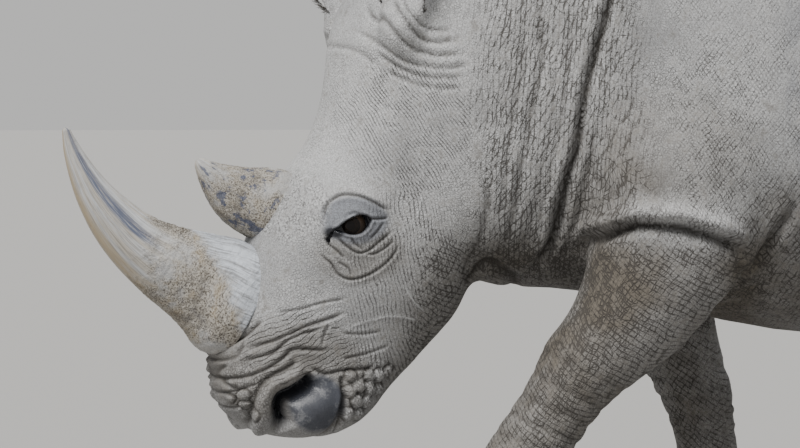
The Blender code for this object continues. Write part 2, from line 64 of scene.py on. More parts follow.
camera.location = AIM + back * VIEW_DISTANCE
camera.rotation_euler = (math.pi / 2 - VIEW_RISE, 0.0, VIEW_TURN)
bpy.context.scene.collection.objects.link(camera)
bpy.context.scene.camera = camera


def plain_material(name, colour, roughness):
    """One even colour on a matt surface."""
    made = bpy.data.materials.new(name)
    made.use_nodes = True
    shader = made.node_tree.nodes["Principled BSDF"]
    shader.inputs["Base Color"].default_value = (*colour, 1.0)
    shader.inputs["Roughness"].default_value = roughness
    return made


def sheet_mesh(name, points, faces):
    """Put arrays of points (n, 3) and faces (m, 3 or 4) into a new object."""
    mesh = bpy.data.meshes.new(name)
    corners = faces.shape[1]
    mesh.vertices.add(len(points))
    mesh.vertices.foreach_set("co", points.astype(np.float32).ravel())
    mesh.loops.add(faces.size)
    mesh.loops.foreach_set("vertex_index", faces.astype(np.int32).ravel())
    mesh.polygons.add(len(faces))
    mesh.polygons.foreach_set("loop_start", np.arange(0, faces.size, corners, dtype=np.int32))
    mesh.update(calc_edges=True)
    mesh.shade_smooth()
    made = bpy.data.objects.new(name, mesh)
    bpy.context.scene.collection.objects.link(made)
    return made


FLOOR_HALF = 60.0
FLOOR_TONE = (0.30, 0.294, 0.285)
FLOOR_ROUGHNESS = 0.9
corner = np.array([[-1, -1, 0], [1, -1, 0], [1, 1, 0], [-1, 1, 0]]) * FLOOR_HALF
floor = sheet_mesh("floor", corner, np.array([[0, 1, 2, 3]]))
floor.data.materials.append(plain_material("floor", FLOOR_TONE, FLOOR_ROUGHNESS))

LIGHTS = (                       # where it shines from, strength, spread in degrees, colour
    ("key", (3.4, -3.0, 5.6), 4.4, 32.0, (1.0, 0.985, 0.96)),
    ("back", (-1.5, 4.5, 5.0), 1.9, 45.0, (0.95, 0.975, 1.0)),
)
SKY_TONE, SKY_STRENGTH = (0.90, 0.895, 0.88, 1.0), 0.66
for name, place, strength, spread, tint in LIGHTS:
    lamp = bpy.data.lights.new(name, "SUN")
    lamp.energy = strength
    lamp.angle = math.radians(spread)
    lamp.color = tint
    holder = bpy.data.objects.new(name, lamp)
    reach = -np.array(place)
    holder.location = place
    tilt = math.acos(-reach[2] / np.linalg.norm(reach))
    holder.rotation_euler = (tilt, 0.0, math.atan2(reach[1], reach[0]) - math.pi / 2)
    bpy.context.scene.collection.objects.link(holder)
world = bpy.data.worlds.new("studio")
world.use_nodes = True
sky = world.node_tree.nodes["Background"]
sky.inputs["Color"].default_value = SKY_TONE
sky.inputs["Strength"].default_value = SKY_STRENGTH
bpy.context.scene.world = world

# ------------------------------------------------------------------ the body's form
# The flesh under the hide: a barrel of a trunk with a hump, a long low head, pillar legs,
# ears and tail. Each is a loft of sections, and one fine grid joins and eases them all.
TRUNK = (                        # y, top, bottom, level of the widest point, half width
    (1.540, 1.26, 1.18, 1.22, 0.03),
    (1.525, 1.36, 1.04, 1.21, 0.14),
    (1.450, 1.46, 0.91, 1.18, 0.25),
    (1.330, 1.55, 0.81, 1.14, 0.34),
    (1.150, 1.635, 0.71, 1.10, 0.41),
    (0.950, 1.665, 0.64, 1.06, 0.45),
    (0.700, 1.645, 0.58, 1.00, 0.475),
    (0.450, 1.61, 0.54, 0.96, 0.498),
    (0.200, 1.595, 0.525, 0.94, 0.50),
    (0.000, 1.61, 0.528, 0.96, 0.485),
    (-0.200, 1.665, 0.54, 1.00, 0.455),
    (-0.350, 1.73, 0.56, 1.04, 0.43),
    (-0.500, 1.75, 0.59, 1.07, 0.395),
    (-0.620, 1.715, 0.61, 1.07, 0.345),
    (-0.750, 1.62, 0.63, 1.03, 0.290),
    (-0.850, 1.51, 0.645, 0.98, 0.255),
    (-0.950, 1.38, 0.69, 0.95, 0.225),
    (-1.020, 1.26, 0.78, 0.98, 0.180),
    (-1.060, 1.14, 0.92, 1.02, 0.100),
)
TRUNK_POWER = 2.3
STATIONS, ROUND = 90, 64         # sections along the trunk and the head, and points round each
HEAD_ORIGIN = (0.0, -1.02, 1.14)
HEAD_PITCH = math.radians(71.0)
HEAD = (                         # along, top, underside, widest level, half width, power
    (-0.100, 0.000, -0.100, -0.050, 0.060, 2.1),
    (-0.050, 0.062, -0.150, -0.030, 0.125, 2.2),
    (0.000, 0.076, -0.190, -0.030, 0.150, 2.2),
    (0.060, 0.080, -0.230, -0.040, 0.163, 2.3),
    (0.120, 0.070, -0.260, -0.050, 0.168, 2.3),
    (0.180, 0.058, -0.285, -0.060, 0.170, 2.3),
    (0.240, 0.053, -0.300, -0.060, 0.174, 2.3),
    (0.300, 0.064, -0.310, -0.060, 0.179, 2.3),
    (0.360, 0.092, -0.312, -0.060, 0.181, 2.3),
    (0.420, 0.108, -0.302, -0.060, 0.176, 2.3),
    (0.480, 0.113, -0.297, -0.060, 0.163, 2.4),
    (0.540, 0.114, -0.275, -0.055, 0.150, 2.5),
    (0.600, 0.114, -0.246, -0.050, 0.138, 2.6),
    (0.660, 0.114, -0.213, -0.050, 0.131, 2.8),
    (0.700, 0.113, -0.198, -0.050, 0.131, 3.0),
    (0.735, 0.096, -0.176, -0.050, 0.135, 3.0),
    (0.765, 0.078, -0.142, -0.046, 0.132, 2.8),
    (0.790, 0.050, -0.098, -0.036, 0.118, 2.6),
    (0.806, 0.008, -0.054, -0.025, 0.078, 2.4),
    (0.811, -0.018, -0.032, -0.024, 0.015, 2.2),
)
LEG_FRONT_LEFT = (               # height, middle y and half length, middle x and half width
    (1.150, -0.420, 0.200, 0.190, 0.120),
    (0.950, -0.470, 0.200, 0.245, 0.145),
    (0.800, -0.525, 0.170, 0.280, 0.138),
    (0.700, -0.540, 0.155, 0.290, 0.126),
    (0.630, -0.572, 0.142, 0.290, 0.118),
    (0.585, -0.605, 0.134, 0.288, 0.112),
    (0.535, -0.650, 0.128, 0.285, 0.106),
    (0.490, -0.686, 0.111, 0.282, 0.100),
    (0.437, -0.735, 0.092, 0.280, 0.092),
    (0.390, -0.772, 0.088, 0.277, 0.088),
    (0.350, -0.800, 0.086, 0.275, 0.087),
    (0.280, -0.838, 0.076, 0.272, 0.080),
    (0.200, -0.868, 0.078, 0.270, 0.080),
    (0.130, -0.893, 0.097, 0.270, 0.096),
    (0.070, -0.918, 0.124, 0.270, 0.117),
    (0.030, -0.928, 0.134, 0.270, 0.125),
    (0.000, -0.928, 0.128, 0.270, 0.121),
)
LEG_FRONT_RIGHT = (
    (1.150, -0.380, 0.190, 0.190, 0.120),
    (0.950, -0.420, 0.190, 0.245, 0.145),
    (0.800, -0.450, 0.155, 0.280, 0.134),
    (0.650, -0.460, 0.125, 0.285, 0.116),
    (0.540, -0.425, 0.097, 0.280, 0.100),
    (0.440, -0.381, 0.082, 0.278, 0.088),
    (0.400, -0.365, 0.076, 0.275, 0.085),
    (0.357, -0.356, 0.066, 0.272, 0.078),
    (0.306, -0.346, 0.062, 0.270, 0.073),
    (0.200, -0.336, 0.068, 0.270, 0.076),
    (0.130, -0.346, 0.094, 0.270, 0.095),
    (0.070, -0.364, 0.123, 0.270, 0.117),
    (0.030, -0.372, 0.133, 0.270, 0.125),
    (0.000, -0.372, 0.127, 0.270, 0.121),
)
LEG_HIND = (
    (1.350, 1.120, 0.200, 0.200, 0.120),
    (1.150, 1.130, 0.310, 0.250, 0.170),
    (1.000, 1.130, 0.340, 0.275, 0.180),
    (0.880, 1.110, 0.325, 0.290, 0.175),
    (0.770, 1.080, 0.275, 0.292, 0.160),
    (0.660, 1.070, 0.215, 0.290, 0.138),
    (0.560, 1.090, 0.166, 0.283, 0.118),
    (0.460, 1.122, 0.134, 0.277, 0.102),
    (0.380, 1.140, 0.117, 0.272, 0.094),
    (0.280, 1.142, 0.095, 0.268, 0.084),
    (0.190, 1.136, 0.090, 0.268, 0.083),
    (0.120, 1.122, 0.104, 0.268, 0.097),
    (0.060, 1.106, 0.124, 0.268, 0.113),
    (0.030, 1.100, 0.132, 0.268, 0.119),
    (0.000, 1.100, 0.126, 0.268, 0.115),
)
LEG_POWER = 2.2
LEG_STATIONS, LEG_ROUND = 50, 40
HIND_LEFT_STEP, HIND_RIGHT_STEP = 0.03, -0.14
HIND_STEP_TOP = 0.95
LEG_RUN_ON = -0.012
TAIL_CURVE = ((1.470, 1.400), (1.600, 1.400), (1.612, 1.120), (1.596, 0.900))
TAIL_RADII = (0.050, 0.036, 0.024, 0.017)
TAIL_AT = (0.0, 0.3, 0.7, 1.0)   # shares of the tail's length that have those radii
TAIL_ROWS, TAIL_ROUND = 40, 24
EAR_ROOTS = {1: (0.142, -1.030, 1.075), -1: (-0.142, -1.030, 1.075)}
EAR_AXES = {1: (0.34, -0.16, 0.92), -1: (-0.52, -0.52, 0.68)}
EAR_OPENINGS = {1: (0.62, -0.78, 0.0), -1: (-0.50, -0.86, 0.0)}
EAR_STATIONS = (                 # distance, half width, depth, wall
    (-0.030, 0.044, 0.044, 0.043),
    (0.000, 0.046, 0.046, 0.045),
    (0.060, 0.046, 0.046, 0.043),
    (0.095, 0.047, 0.046, 0.018),
    (0.140, 0.054, 0.044, 0.010),
    (0.190, 0.055, 0.036, 0.009),
    (0.235, 0.044, 0.026, 0.008),
    (0.268, 0.024, 0.014, 0.007),
    (0.285, 0.007, 0.006, 0.005),
)
EAR_TUCK = 0.97                  # the hollow is a little narrower than the ear
EAR_ROWS, EAR_ARC = 60, 25
COARSE_GRID, COARSE_ROUNDS = 0.018, 6
FINE_GRID, FINE_ROUNDS = 0.0065, 3
ROOT_REACH, ROOT_ROUNDS = 0.085, 40   # the ears grow smoothly out of the head
ROOT_RISE, ROOT_LEVELS = 0.01, 8


def ease(value, start, end):
    """s = (value - start) / (end - start) held in 0..1, then s^2 (3 - 2 s)."""
    share = np.clip((value - start) / (end - start), 0.0, 1.0)
    return share * share * (3.0 - 2.0 * share)


def through(table, count):
    """Rows along the cubic curve through a table, equally spaced on its length.

    Between rows a and b it is h00 a + h10 m_a + h01 b + h11 m_b, the Hermite form,
    with each slope the mean of those on the row's two sides.
    """
    rows = np.array(table, float)
    steps = np.linalg.norm(np.diff(rows[:, :3], axis=0), axis=1)
    at = np.concatenate([[0.0], np.cumsum(steps)])
    slopes = np.diff(rows, axis=0) / steps[:, None]
    tangents = np.vstack([slopes[:1], 0.5 * (slopes[1:] + slopes[:-1]), slopes[-1:]])
    want = np.linspace(0.0, at[-1], count)
    seat = np.clip(np.searchsorted(at, want, side="right") - 1, 0, len(steps) - 1)
    span = steps[seat][:, None]
    t = ((want - at[seat]) / steps[seat])[:, None]
    return (
        (2 * t**3 - 3 * t**2 + 1) * rows[seat]
        + (t**3 - 2 * t**2 + t) * span * tangents[seat]
        + (3 * t**2 - 2 * t**3) * rows[seat + 1]
        + (t**3 - t**2) * span * tangents[seat + 1]
    )


def squared_circle(power, count):
    """Cosine and sine of count turns, each sign(c) |c|^(2 / power)."""
    turn = np.linspace(0.0, 2.0 * math.pi, count, endpoint=False)
    c, s = np.cos(turn), np.sin(turn)
    bend = 2.0 / np.asarray(power)[..., None]
    return np.sign(c) * np.abs(c) ** bend, np.sign(s) * np.abs(s) ** bend


def from_head(along, out, side):
    """A place in the head's own frame, turned down by its pitch and set on the neck."""
    x0, y0, z0 = HEAD_ORIGIN
    c, s = math.cos(HEAD_PITCH), math.sin(HEAD_PITCH)
    return np.stack([
        x0 + side + 0.0 * along, y0 - c * along - s * out, z0 - s * along + c * out], axis=-1)


def closed_tube(grid):
    """Points and triangles of rings (n, k, 3), each end closed by a fan to its middle."""
    rows, size = grid.shape[:2]
    points = np.concatenate([grid.reshape(-1, 3), grid[:1].mean(axis=1), grid[-1:].mean(axis=1)])
    ring, k = np.meshgrid(np.arange(rows - 1), np.arange(size), indexing="ij")
    a, b = ring * size + k, ring * size + (k + 1) % size
    sides = np.stack([a, b, b + size, a, b + size, a + size], axis=-1).reshape(-1, 3)
    k = np.arange(size)
    after, last = (k + 1) % size, (rows - 1) * size
    first_fan = np.stack([after, k, np.full(size, rows * size)], axis=-1)
    last_fan = np.stack([last + k, last + after, np.full(size, rows * size + 1)], axis=-1)
    return points, np.concatenate([sides, first_fan, last_fan])


def joined(tubes):
    """Several closed tubes as one pair of arrays, faced outwards."""
    points, faces, start = [], [], 0
    for grid in tubes:
        own, triangles = closed_tube(grid)
        a, b, c = (own[triangles[:, i]] for i in range(3))
        if np.einsum("ij,ij->i", a, np.cross(b, c)).sum() < 0.0:
            triangles = triangles[:, ::-1]
        points.append(own)
        faces.append(triangles + start)
        start += len(own)
    return np.concatenate(points), np.concatenate(faces)


def trunk_rings():
    """Upright sections: (w a, y, m + h) with a, b on the squared circle, h to top or bottom."""
    y, top, bottom, middle, width = through(TRUNK, STATIONS)[:, :, None].transpose(1, 0, 2)
    across, rise = squared_circle(TRUNK_POWER, ROUND)
    height = np.where(rise > 0.0, (top - middle) * rise, (middle - bottom) * rise)
    return np.stack([width * across, y + 0.0 * height, middle + height], axis=-1)


def head_rings():
    """Sections square to the head's length, as the trunk's but with their own power."""
    rows = through(HEAD, STATIONS)
    along, top, bottom, middle, width = rows[:, :5, None].transpose(1, 0, 2)
    across, rise = squared_circle(rows[:, 5], ROUND)
    height = np.where(rise > 0.0, (top - middle) * rise, (middle - bottom) * rise)
    return from_head(along + 0.0 * height, middle + height, width * across)


def leg_rings(table, side, step=0.0):
    """Level sections (x + w a, y + l b, z), the hind foot stepped along y below the hip."""
    rows = np.vstack([through(table, LEG_STATIONS), (LEG_RUN_ON, *table[-1][1:])])
    z, y, length, x, width = rows[:, :, None].transpose(1, 0, 2)
    across, along = squared_circle(LEG_POWER, LEG_ROUND)
    behind = step * (1.0 - ease(z, 0.0, HIND_STEP_TOP))
    return np.stack([
        side * (x + width * across), y + behind + length * along, z + 0.0 * across], axis=-1)


def tail_rings():
    """Circles r(t) (cos a, sin a) square to the cubic p(t) of the tail's four points."""
    t = np.linspace(0.0, 1.0, TAIL_ROWS)[:, None]
    p = np.array([(0.0, *place) for place in TAIL_CURVE])
    s = 1.0 - t
    line = s**3 * p[0] + 3 * s * s * t * p[1] + 3 * s * t * t * p[2] + t**3 * p[3]
    ahead = np.gradient(line, axis=0)
    ahead /= np.linalg.norm(ahead, axis=1)[:, None]
    level = np.array([1.0, 0.0, 0.0])
    out = np.cross(ahead, level)
    turn = np.linspace(0.0, 2.0 * math.pi, TAIL_ROUND, endpoint=False)[:, None]
    radius = np.interp(t, TAIL_AT, TAIL_RADII)[:, None]
    return line[:, None] + radius * (np.cos(turn) * level + np.sin(turn) * out[:, None])


def ear_rings(side):
    """Crescents: an outer arc d sin a behind the axis, and an inner arc (d - 2 wall) sin a."""
    axis = np.array(EAR_AXES[side]) / np.linalg.norm(EAR_AXES[side])
    opening = np.array(EAR_OPENINGS[side])
    opening = opening - opening @ axis * axis
    opening /= np.linalg.norm(opening)
    across = np.cross(axis, opening)
    distance, width, depth, wall = through(EAR_STATIONS, EAR_ROWS)[:, :, None].transpose(1, 0, 2)
    turn = np.linspace(0.0, math.pi, EAR_ARC)
    outer = (width * np.cos(turn), depth * np.sin(turn))
    turn = turn[::-1][1:-1]
    inner = (EAR_TUCK * width * np.cos(turn), (depth - 2.0 * wall) * np.sin(turn))
    wide = np.concatenate([outer[0], inner[0]], axis=1)[..., None]
    deep = np.concatenate([outer[1], inner[1]], axis=1)[..., None]
    centre = np.array(EAR_ROOTS[side]) + distance[..., None] * axis
    return centre + across * wide - opening * deep


def use(item, kind, **settings):
    """Add one modifier with these settings and apply it."""
    step = item.modifiers.new(kind.lower(), kind)
    for name, value in settings.items():
        setattr(step, name, value)
    bpy.context.view_layer.objects.active = item
    bpy.ops.object.modifier_apply(modifier=step.name)


def arrays_of(item):
    """Points (n, 3) and triangles (m, 3) of an object's mesh."""
    mesh = item.data
    mesh.calc_loop_triangles()
    points = np.empty(len(mesh.vertices) * 3, np.float32)
    mesh.vertices.foreach_get("co", points)
    faces = np.empty(len(mesh.loop_triangles) * 3, np.int32)
    mesh.loop_triangles.foreach_get("vertices", faces)
    return points.reshape(-1, 3).astype(float), faces.reshape(-1, 3)


FEET = (                         # node ending, table, side, step
    ("front_left", LEG_FRONT_LEFT, 1, 0.0),
    ("front_right", LEG_FRONT_RIGHT, -1, 0.0),
    ("hind_left", LEG_HIND, 1, HIND_LEFT_STEP),
    ("hind_right", LEG_HIND, -1, HIND_RIGHT_STEP),
)
form = sheet_mesh("form", *joined(
    [trunk_rings(), head_rings()] + [leg_rings(t, side, step) for _, t, side, step in FEET]))
use(form, "REMESH", mode="VOXEL", voxel_size=COARSE_GRID)
use(form, "SMOOTH", factor=0.5, iterations=COARSE_ROUNDS)
use(form, "SUBSURF", levels=1, render_levels=1)
limbs = sheet_mesh("limbs", *joined([tail_rings(), ear_rings(1), ear_rings(-1)]))
points, faces = arrays_of(form)
extra, extra_faces = arrays_of(limbs)
bpy.data.objects.remove(form)
bpy.data.objects.remove(limbs)
form = sheet_mesh("form", np.concatenate([points, extra]),
                  np.concatenate([faces, extra_faces + len(points)]))
use(form, "REMESH", mode="VOXEL", voxel_size=FINE_GRID)
use(form, "SMOOTH", factor=0.5, iterations=FINE_ROUNDS)
points, faces = arrays_of(form)
root_share = np.zeros(len(points))
for root in EAR_ROOTS.values():
    away = np.linalg.norm(points - (np.array(root) + (0.0, 0.0, ROOT_RISE)), axis=1)
    root_share = np.maximum(root_share, ease(ROOT_REACH - away, 0.0, 0.4 * ROOT_REACH))
roots = form.vertex_groups.new(name="roots")
for level in range(1, ROOT_LEVELS + 1):
    members = np.flatnonzero(np.round(root_share * ROOT_LEVELS) == level)
    roots.add(members.tolist(), level / ROOT_LEVELS, "REPLACE")
use(form, "SMOOTH", factor=0.5, iterations=ROOT_ROUNDS, vertex_group="roots")

# ------------------------------------------------------------------ folds of the hide
# The hide hangs loose: it rolls over the shoulder and the lip, creases at the neck and
# round the eye, and swells over muscle and bone. Every line is a route seen from the side.
MM = 0.001
MASSES = (                       # middle (x on both sides), radii, height in mm
    ((0.150, -1.118, 0.800), (0.060, 0.055, 0.040), 6.0),
    ((0.165, -1.132, 0.757), (0.050, 0.048, 0.040), 7.0),
    ((0.160, -1.010, 0.830), (0.060, 0.055, 0.060), -6.0),
    ((0.170, -0.985, 0.700), (0.090, 0.090, 0.120), 9.0),
    ((0.170, -1.200, 0.640), (0.090, 0.060, 0.050), -4.0),
    ((0.150, -1.075, 0.560), (0.070, 0.050, 0.050), -5.0),
    ((0.130, -1.192, 0.428), (0.050, 0.038, 0.036), 15.0),
    ((0.120, -1.108, 0.445), (0.060, 0.045, 0.040), 12.0),
    ((0.420, -0.420, 1.150), (0.200, 0.230, 0.260), 20.0),
    ((0.400, -0.520, 0.900), (0.200, 0.150, 0.120), 12.0),
    ((0.300, -0.600, 1.350), (0.150, 0.120, 0.200), 10.0),
    ((0.450, 1.120, 1.080), (0.200, 0.230, 0.250), 24.0),
    ((0.250, 0.900, 1.520), (0.150, 0.110, 0.120), 22.0),
    ((0.440, 0.700, 1.280), (0.200, 0.130, 0.160), -24.0),
    ((0.430, -0.060, 1.250), (0.200, 0.120, 0.300), -12.0),
    ((0.200, 1.430, 1.330), (0.150, 0.080, 0.100), 14.0),
    ((0.120, 1.480, 1.150), (0.100, 0.100, 0.200), -10.0),
    ((0.340, 1.200, 0.560), (0.120, 0.060, 0.120), 10.0),
    ((0.350, 0.930, 0.700), (0.120, 0.070, 0.110), 12.0),
    ((0.000, 0.700, 0.530), (0.250, 0.300, 0.100), 10.0),
    ((0.000, 0.500, 1.640), (0.050, 0.900, 0.080), 12.0),
    ((0.120, 0.300, 1.600), (0.060, 0.600, 0.080), -6.0),
)
# A fold: side (0 both), depth, width, roll on the left and on the right of its route, all
# in mm, and the route as (y, z).
EYE_FOLDS = (
    (0, 5.0, 3.2, 1.5, 2.0, ((-1.185, 0.758), (-1.179, 0.787), (-1.157, 0.805), (-1.128, 0.805),
                             (-1.100, 0.794), (-1.082, 0.784), (-1.064, 0.778))),
    (0, 4.5, 2.4, 1.0, 1.0, ((-1.110, 0.766), (-1.092, 0.765), (-1.074, 0.767))),
    (0, 4.5, 2.6, 1.5, 2.0, ((-1.170, 0.737), (-1.146, 0.715), (-1.125, 0.704), (-1.112, 0.707),
                             (-1.087, 0.727), (-1.064, 0.745))),
    (0, 3.0, 2.2, 1.0, 1.0, ((-1.141, 0.733), (-1.133, 0.721), (-1.116, 0.709))),
    (0, 3.0, 2.2, 1.0, 1.0, ((-1.082, 0.760), (-1.093, 0.744), (-1.108, 0.729))),
    (0, 3.4, 2.4, 1.0, 1.5, ((-1.116, 0.702), (-1.097, 0.703), (-1.080, 0.712), (-1.064, 0.726))),
    (0, 4.0, 2.4, 1.5, 1.5, ((-1.183, 0.722), (-1.163, 0.707), (-1.149, 0.693))),
    (0, 4.4, 2.7, 1.5, 1.5, ((-1.198, 0.708), (-1.186, 0.695), (-1.172, 0.683), (-1.160, 0.665),
                             (-1.139, 0.656), (-1.108, 0.663), (-1.078, 0.683), (-1.058, 0.708),
                             (-1.051, 0.724))),
    (0, 3.0, 2.2, 1.0, 1.0, ((-1.163, 0.688), (-1.141, 0.674), (-1.136, 0.661))),
)
MUZZLE_FOLDS = (
    (0, 6.0, 4.2, 0.0, 3.0, ((-1.386, 0.520), (-1.372, 0.521), (-1.352, 0.528), (-1.337, 0.540),
                             (-1.316, 0.556), (-1.283, 0.586))),
    (0, 4.5, 3.6, 1.5, 1.5, ((-1.325, 0.531), (-1.298, 0.538), (-1.268, 0.547), (-1.214, 0.571),
                             (-1.178, 0.583), (-1.137, 0.598))),
    (0, 4.5, 3.4, 1.5, 1.5, ((-1.333, 0.499), (-1.317, 0.511), (-1.268, 0.527), (-1.253, 0.541),
                             (-1.233, 0.554), (-1.180, 0.569))),
    (0, 5.0, 3.8, 2.0, 2.0, ((-1.378, 0.464), (-1.350, 0.473), (-1.303, 0.487), (-1.279, 0.498),
                             (-1.253, 0.515), (-1.238, 0.530), (-1.199, 0.530), (-1.160, 0.528))),
    (0, 3.5, 3.2, 1.0, 1.5, ((-1.388, 0.509), (-1.352, 0.508), (-1.335, 0.514), (-1.322, 0.531),
                             (-1.316, 0.552))),
    (0, 2.6, 2.8, 1.0, 1.0, ((-1.172, 0.577), (-1.181, 0.554), (-1.184, 0.534))),
    (0, 4.0, 3.4, 1.5, 1.5, ((-1.341, 0.505), (-1.350, 0.486), (-1.343, 0.468), (-1.328, 0.456))),
    (0, 2.4, 3.0, 1.0, 1.0, ((-1.270, 0.596), (-1.230, 0.601), (-1.190, 0.612), (-1.140, 0.622))),
    (0, 2.2, 3.0, 1.0, 1.0, ((-1.150, 0.560), (-1.110, 0.556), (-1.070, 0.560))),
    (0, 2.2, 3.0, 1.0, 1.0, ((-1.150, 0.512), (-1.100, 0.520), (-1.050, 0.535))),
    (0, 3.2, 3.2, 1.0, 1.0, ((-1.372, 0.440), (-1.345, 0.447), (-1.318, 0.462), (-1.296, 0.470))),
    (0, 3.2, 3.2, 1.0, 1.0, ((-1.362, 0.418), (-1.335, 0.421), (-1.305, 0.430))),
    (0, 2.6, 3.0, 1.0, 1.0, ((-1.364, 0.475), (-1.366, 0.450), (-1.352, 0.425), (-1.330, 0.400))),
    (0, 2.6, 3.0, 1.0, 1.0, ((-1.329, 0.474), (-1.330, 0.450), (-1.322, 0.425), (-1.305, 0.400))),
    (0, 5.0, 3.6, 1.0, 2.0, ((-1.210, 0.498), (-1.196, 0.494), (-1.178, 0.486), (-1.146, 0.490),
                             (-1.110, 0.492), (-1.076, 0.499))),
    (0, 9.0, 4.5, 2.0, 2.0, ((-1.146, 0.486), (-1.146, 0.466), (-1.144, 0.440), (-1.147, 0.413),
                             (-1.153, 0.372))),
)
SCARS = (                        # pale raised lines of old scratches on the left cheek
    (1, -1.2, 2.0, 0.0, 0.0, ((-1.138, 0.568), (-1.099, 0.579), (-1.054, 0.588), (-1.001, 0.579))),
    (1, -1.2, 2.0, 0.0, 0.0, ((-1.043, 0.652), (-1.017, 0.616), (-0.990, 0.594))),
    (1, -1.2, 2.0, 0.0, 0.0, ((-1.009, 0.804), (-1.016, 0.783), (-1.020, 0.760))),
)
MOUTH = (-1.142, 0.452), (-1.150, 0.420), (-1.165, 0.385), (-1.190, 0.365), (-1.260, 0.362), \
    (-1.330, 0.372)
LIP_PADS = (                     # middle, radius and height in mm
    ((-1.129, 0.481), 11.0, 5.0), ((-1.116, 0.464), 12.0, 5.5), ((-1.134, 0.453), 11.0, 5.0),
    ((-1.094, 0.459), 12.0, 5.0), ((-1.122, 0.436), 12.0, 5.5), ((-1.102, 0.437), 11.0, 5.0),
    ((-1.073, 0.481), 12.0, 4.0), ((-1.094, 0.481), 11.0, 4.5), ((-1.137, 0.414), 12.0, 5.0),
    ((-1.113, 0.414), 11.0, 4.5), ((-1.072, 0.457), 11.0, 3.5), ((-1.052, 0.487), 11.0, 3.0),
    ((-1.319, 0.449), 10.0, 4.0), ((-1.340, 0.437), 10.0, 3.5), ((-1.317, 0.431), 9.0, 3.5),
    ((-1.356, 0.456), 10.0, 3.0), ((-1.300, 0.414), 10.0, 3.0), ((-1.350, 0.414), 9.0, 2.5),
)
EAR_FOLDS = (
    (0, 4.5, 4.5, 2.0, 2.0, ((-1.085, 1.160), (-1.077, 1.120), (-1.053, 1.090), (-1.024, 1.070),
                             (-0.988, 1.059), (-0.935, 1.060))),
    (0, 4.5, 4.0, 2.0, 2.0, ((-1.057, 1.165), (-1.049, 1.127), (-1.027, 1.098), (-0.998, 1.084),
                             (-0.950, 1.086))),
    (0, 3.6, 3.6, 1.5, 1.5, ((-1.042, 1.165), (-1.038, 1.137), (-1.022, 1.116), (-0.999, 1.105),
                             (-0.962, 1.103))),
    (0, 3.6, 4.4, 1.5, 2.0, ((-1.110, 1.110), (-1.092, 1.088), (-1.062, 1.062), (-1.026, 1.044),
                             (-0.973, 1.035), (-0.930, 1.042))),
    (0, 3.2, 4.4, 1.5, 2.0, ((-1.090, 1.066), (-1.050, 1.038), (-1.001, 1.019), (-0.945, 1.018))),
    (0, 2.4, 4.2, 1.0, 1.5, ((-1.075, 1.033), (-1.035, 1.014), (-0.990, 0.999), (-0.945, 0.999))),
    (0, 2.4, 4.2, 1.0, 1.5, ((-1.135, 1.085), (-1.105, 1.062), (-1.085, 1.040))),
)
NECK_FOLDS = (
    (0, 21.0, 9.5, 5.0, 7.0, ((-0.655, 1.230), (-0.668, 1.160), (-0.690, 1.090), (-0.709, 1.020),
                               (-0.725, 0.940), (-0.735, 0.875), (-0.750, 0.795),
                               (-0.757, 0.725), (-0.768, 0.685), (-0.782, 0.630))),
    (0, 3.4, 7.0, 1.5, 2.0, ((-0.812, 1.210), (-0.806, 1.120), (-0.804, 1.048), (-0.822, 0.959),
                             (-0.835, 0.869), (-0.841, 0.798), (-0.848, 0.726), (-0.862, 0.680))),
    (0, 2.0, 6.0, 1.0, 1.0, ((-0.780, 1.060), (-0.783, 0.960), (-0.795, 0.860), (-0.805, 0.760),
                             (-0.812, 0.690))),
    (0, 2.2, 6.0, 1.0, 1.0, ((-0.745, 1.160), (-0.752, 1.060), (-0.762, 0.980), (-0.775, 0.900),
                             (-0.785, 0.800), (-0.793, 0.700))),
    (0, 2.0, 6.0, 1.0, 1.0, ((-0.840, 1.150), (-0.838, 1.060), (-0.850, 0.985), (-0.862, 0.900),
                             (-0.866, 0.820), (-0.872, 0.750))),
    (0, 2.6, 7.0, 1.5, 1.5, ((-0.700, 0.905), (-0.706, 0.840), (-0.716, 0.780), (-0.728, 0.720),
                             (-0.738, 0.670))),
    (0, 2.0, 7.0, 1.0, 1.0, ((-0.657, 0.800), (-0.680, 0.820), (-0.700, 0.870), (-0.700, 0.930))),
    (0, 6.5, 7.0, 0.0, 5.0, ((-0.915, 0.640), (-0.895, 0.665), (-0.880, 0.684), (-0.858, 0.682),
                             (-0.826, 0.664), (-0.792, 0.644), (-0.760, 0.620))),
    (0, 3.0, 7.0, 1.0, 1.0, ((-0.905, 0.850), (-0.893, 0.780), (-0.900, 0.725), (-0.915, 0.680),
                             (-0.920, 0.640))),
    (0, 8.0, 14.0, 5.0, 5.0, ((-0.560, 1.680), (-0.600, 1.560), (-0.630, 1.420), (-0.648, 1.300),
                              (-0.655, 1.230))),
    (0, 7.0, 12.0, 4.0, 4.0, ((-0.740, 1.600), (-0.765, 1.480), (-0.790, 1.360), (-0.805, 1.260),
                              (-0.812, 1.200))),
)
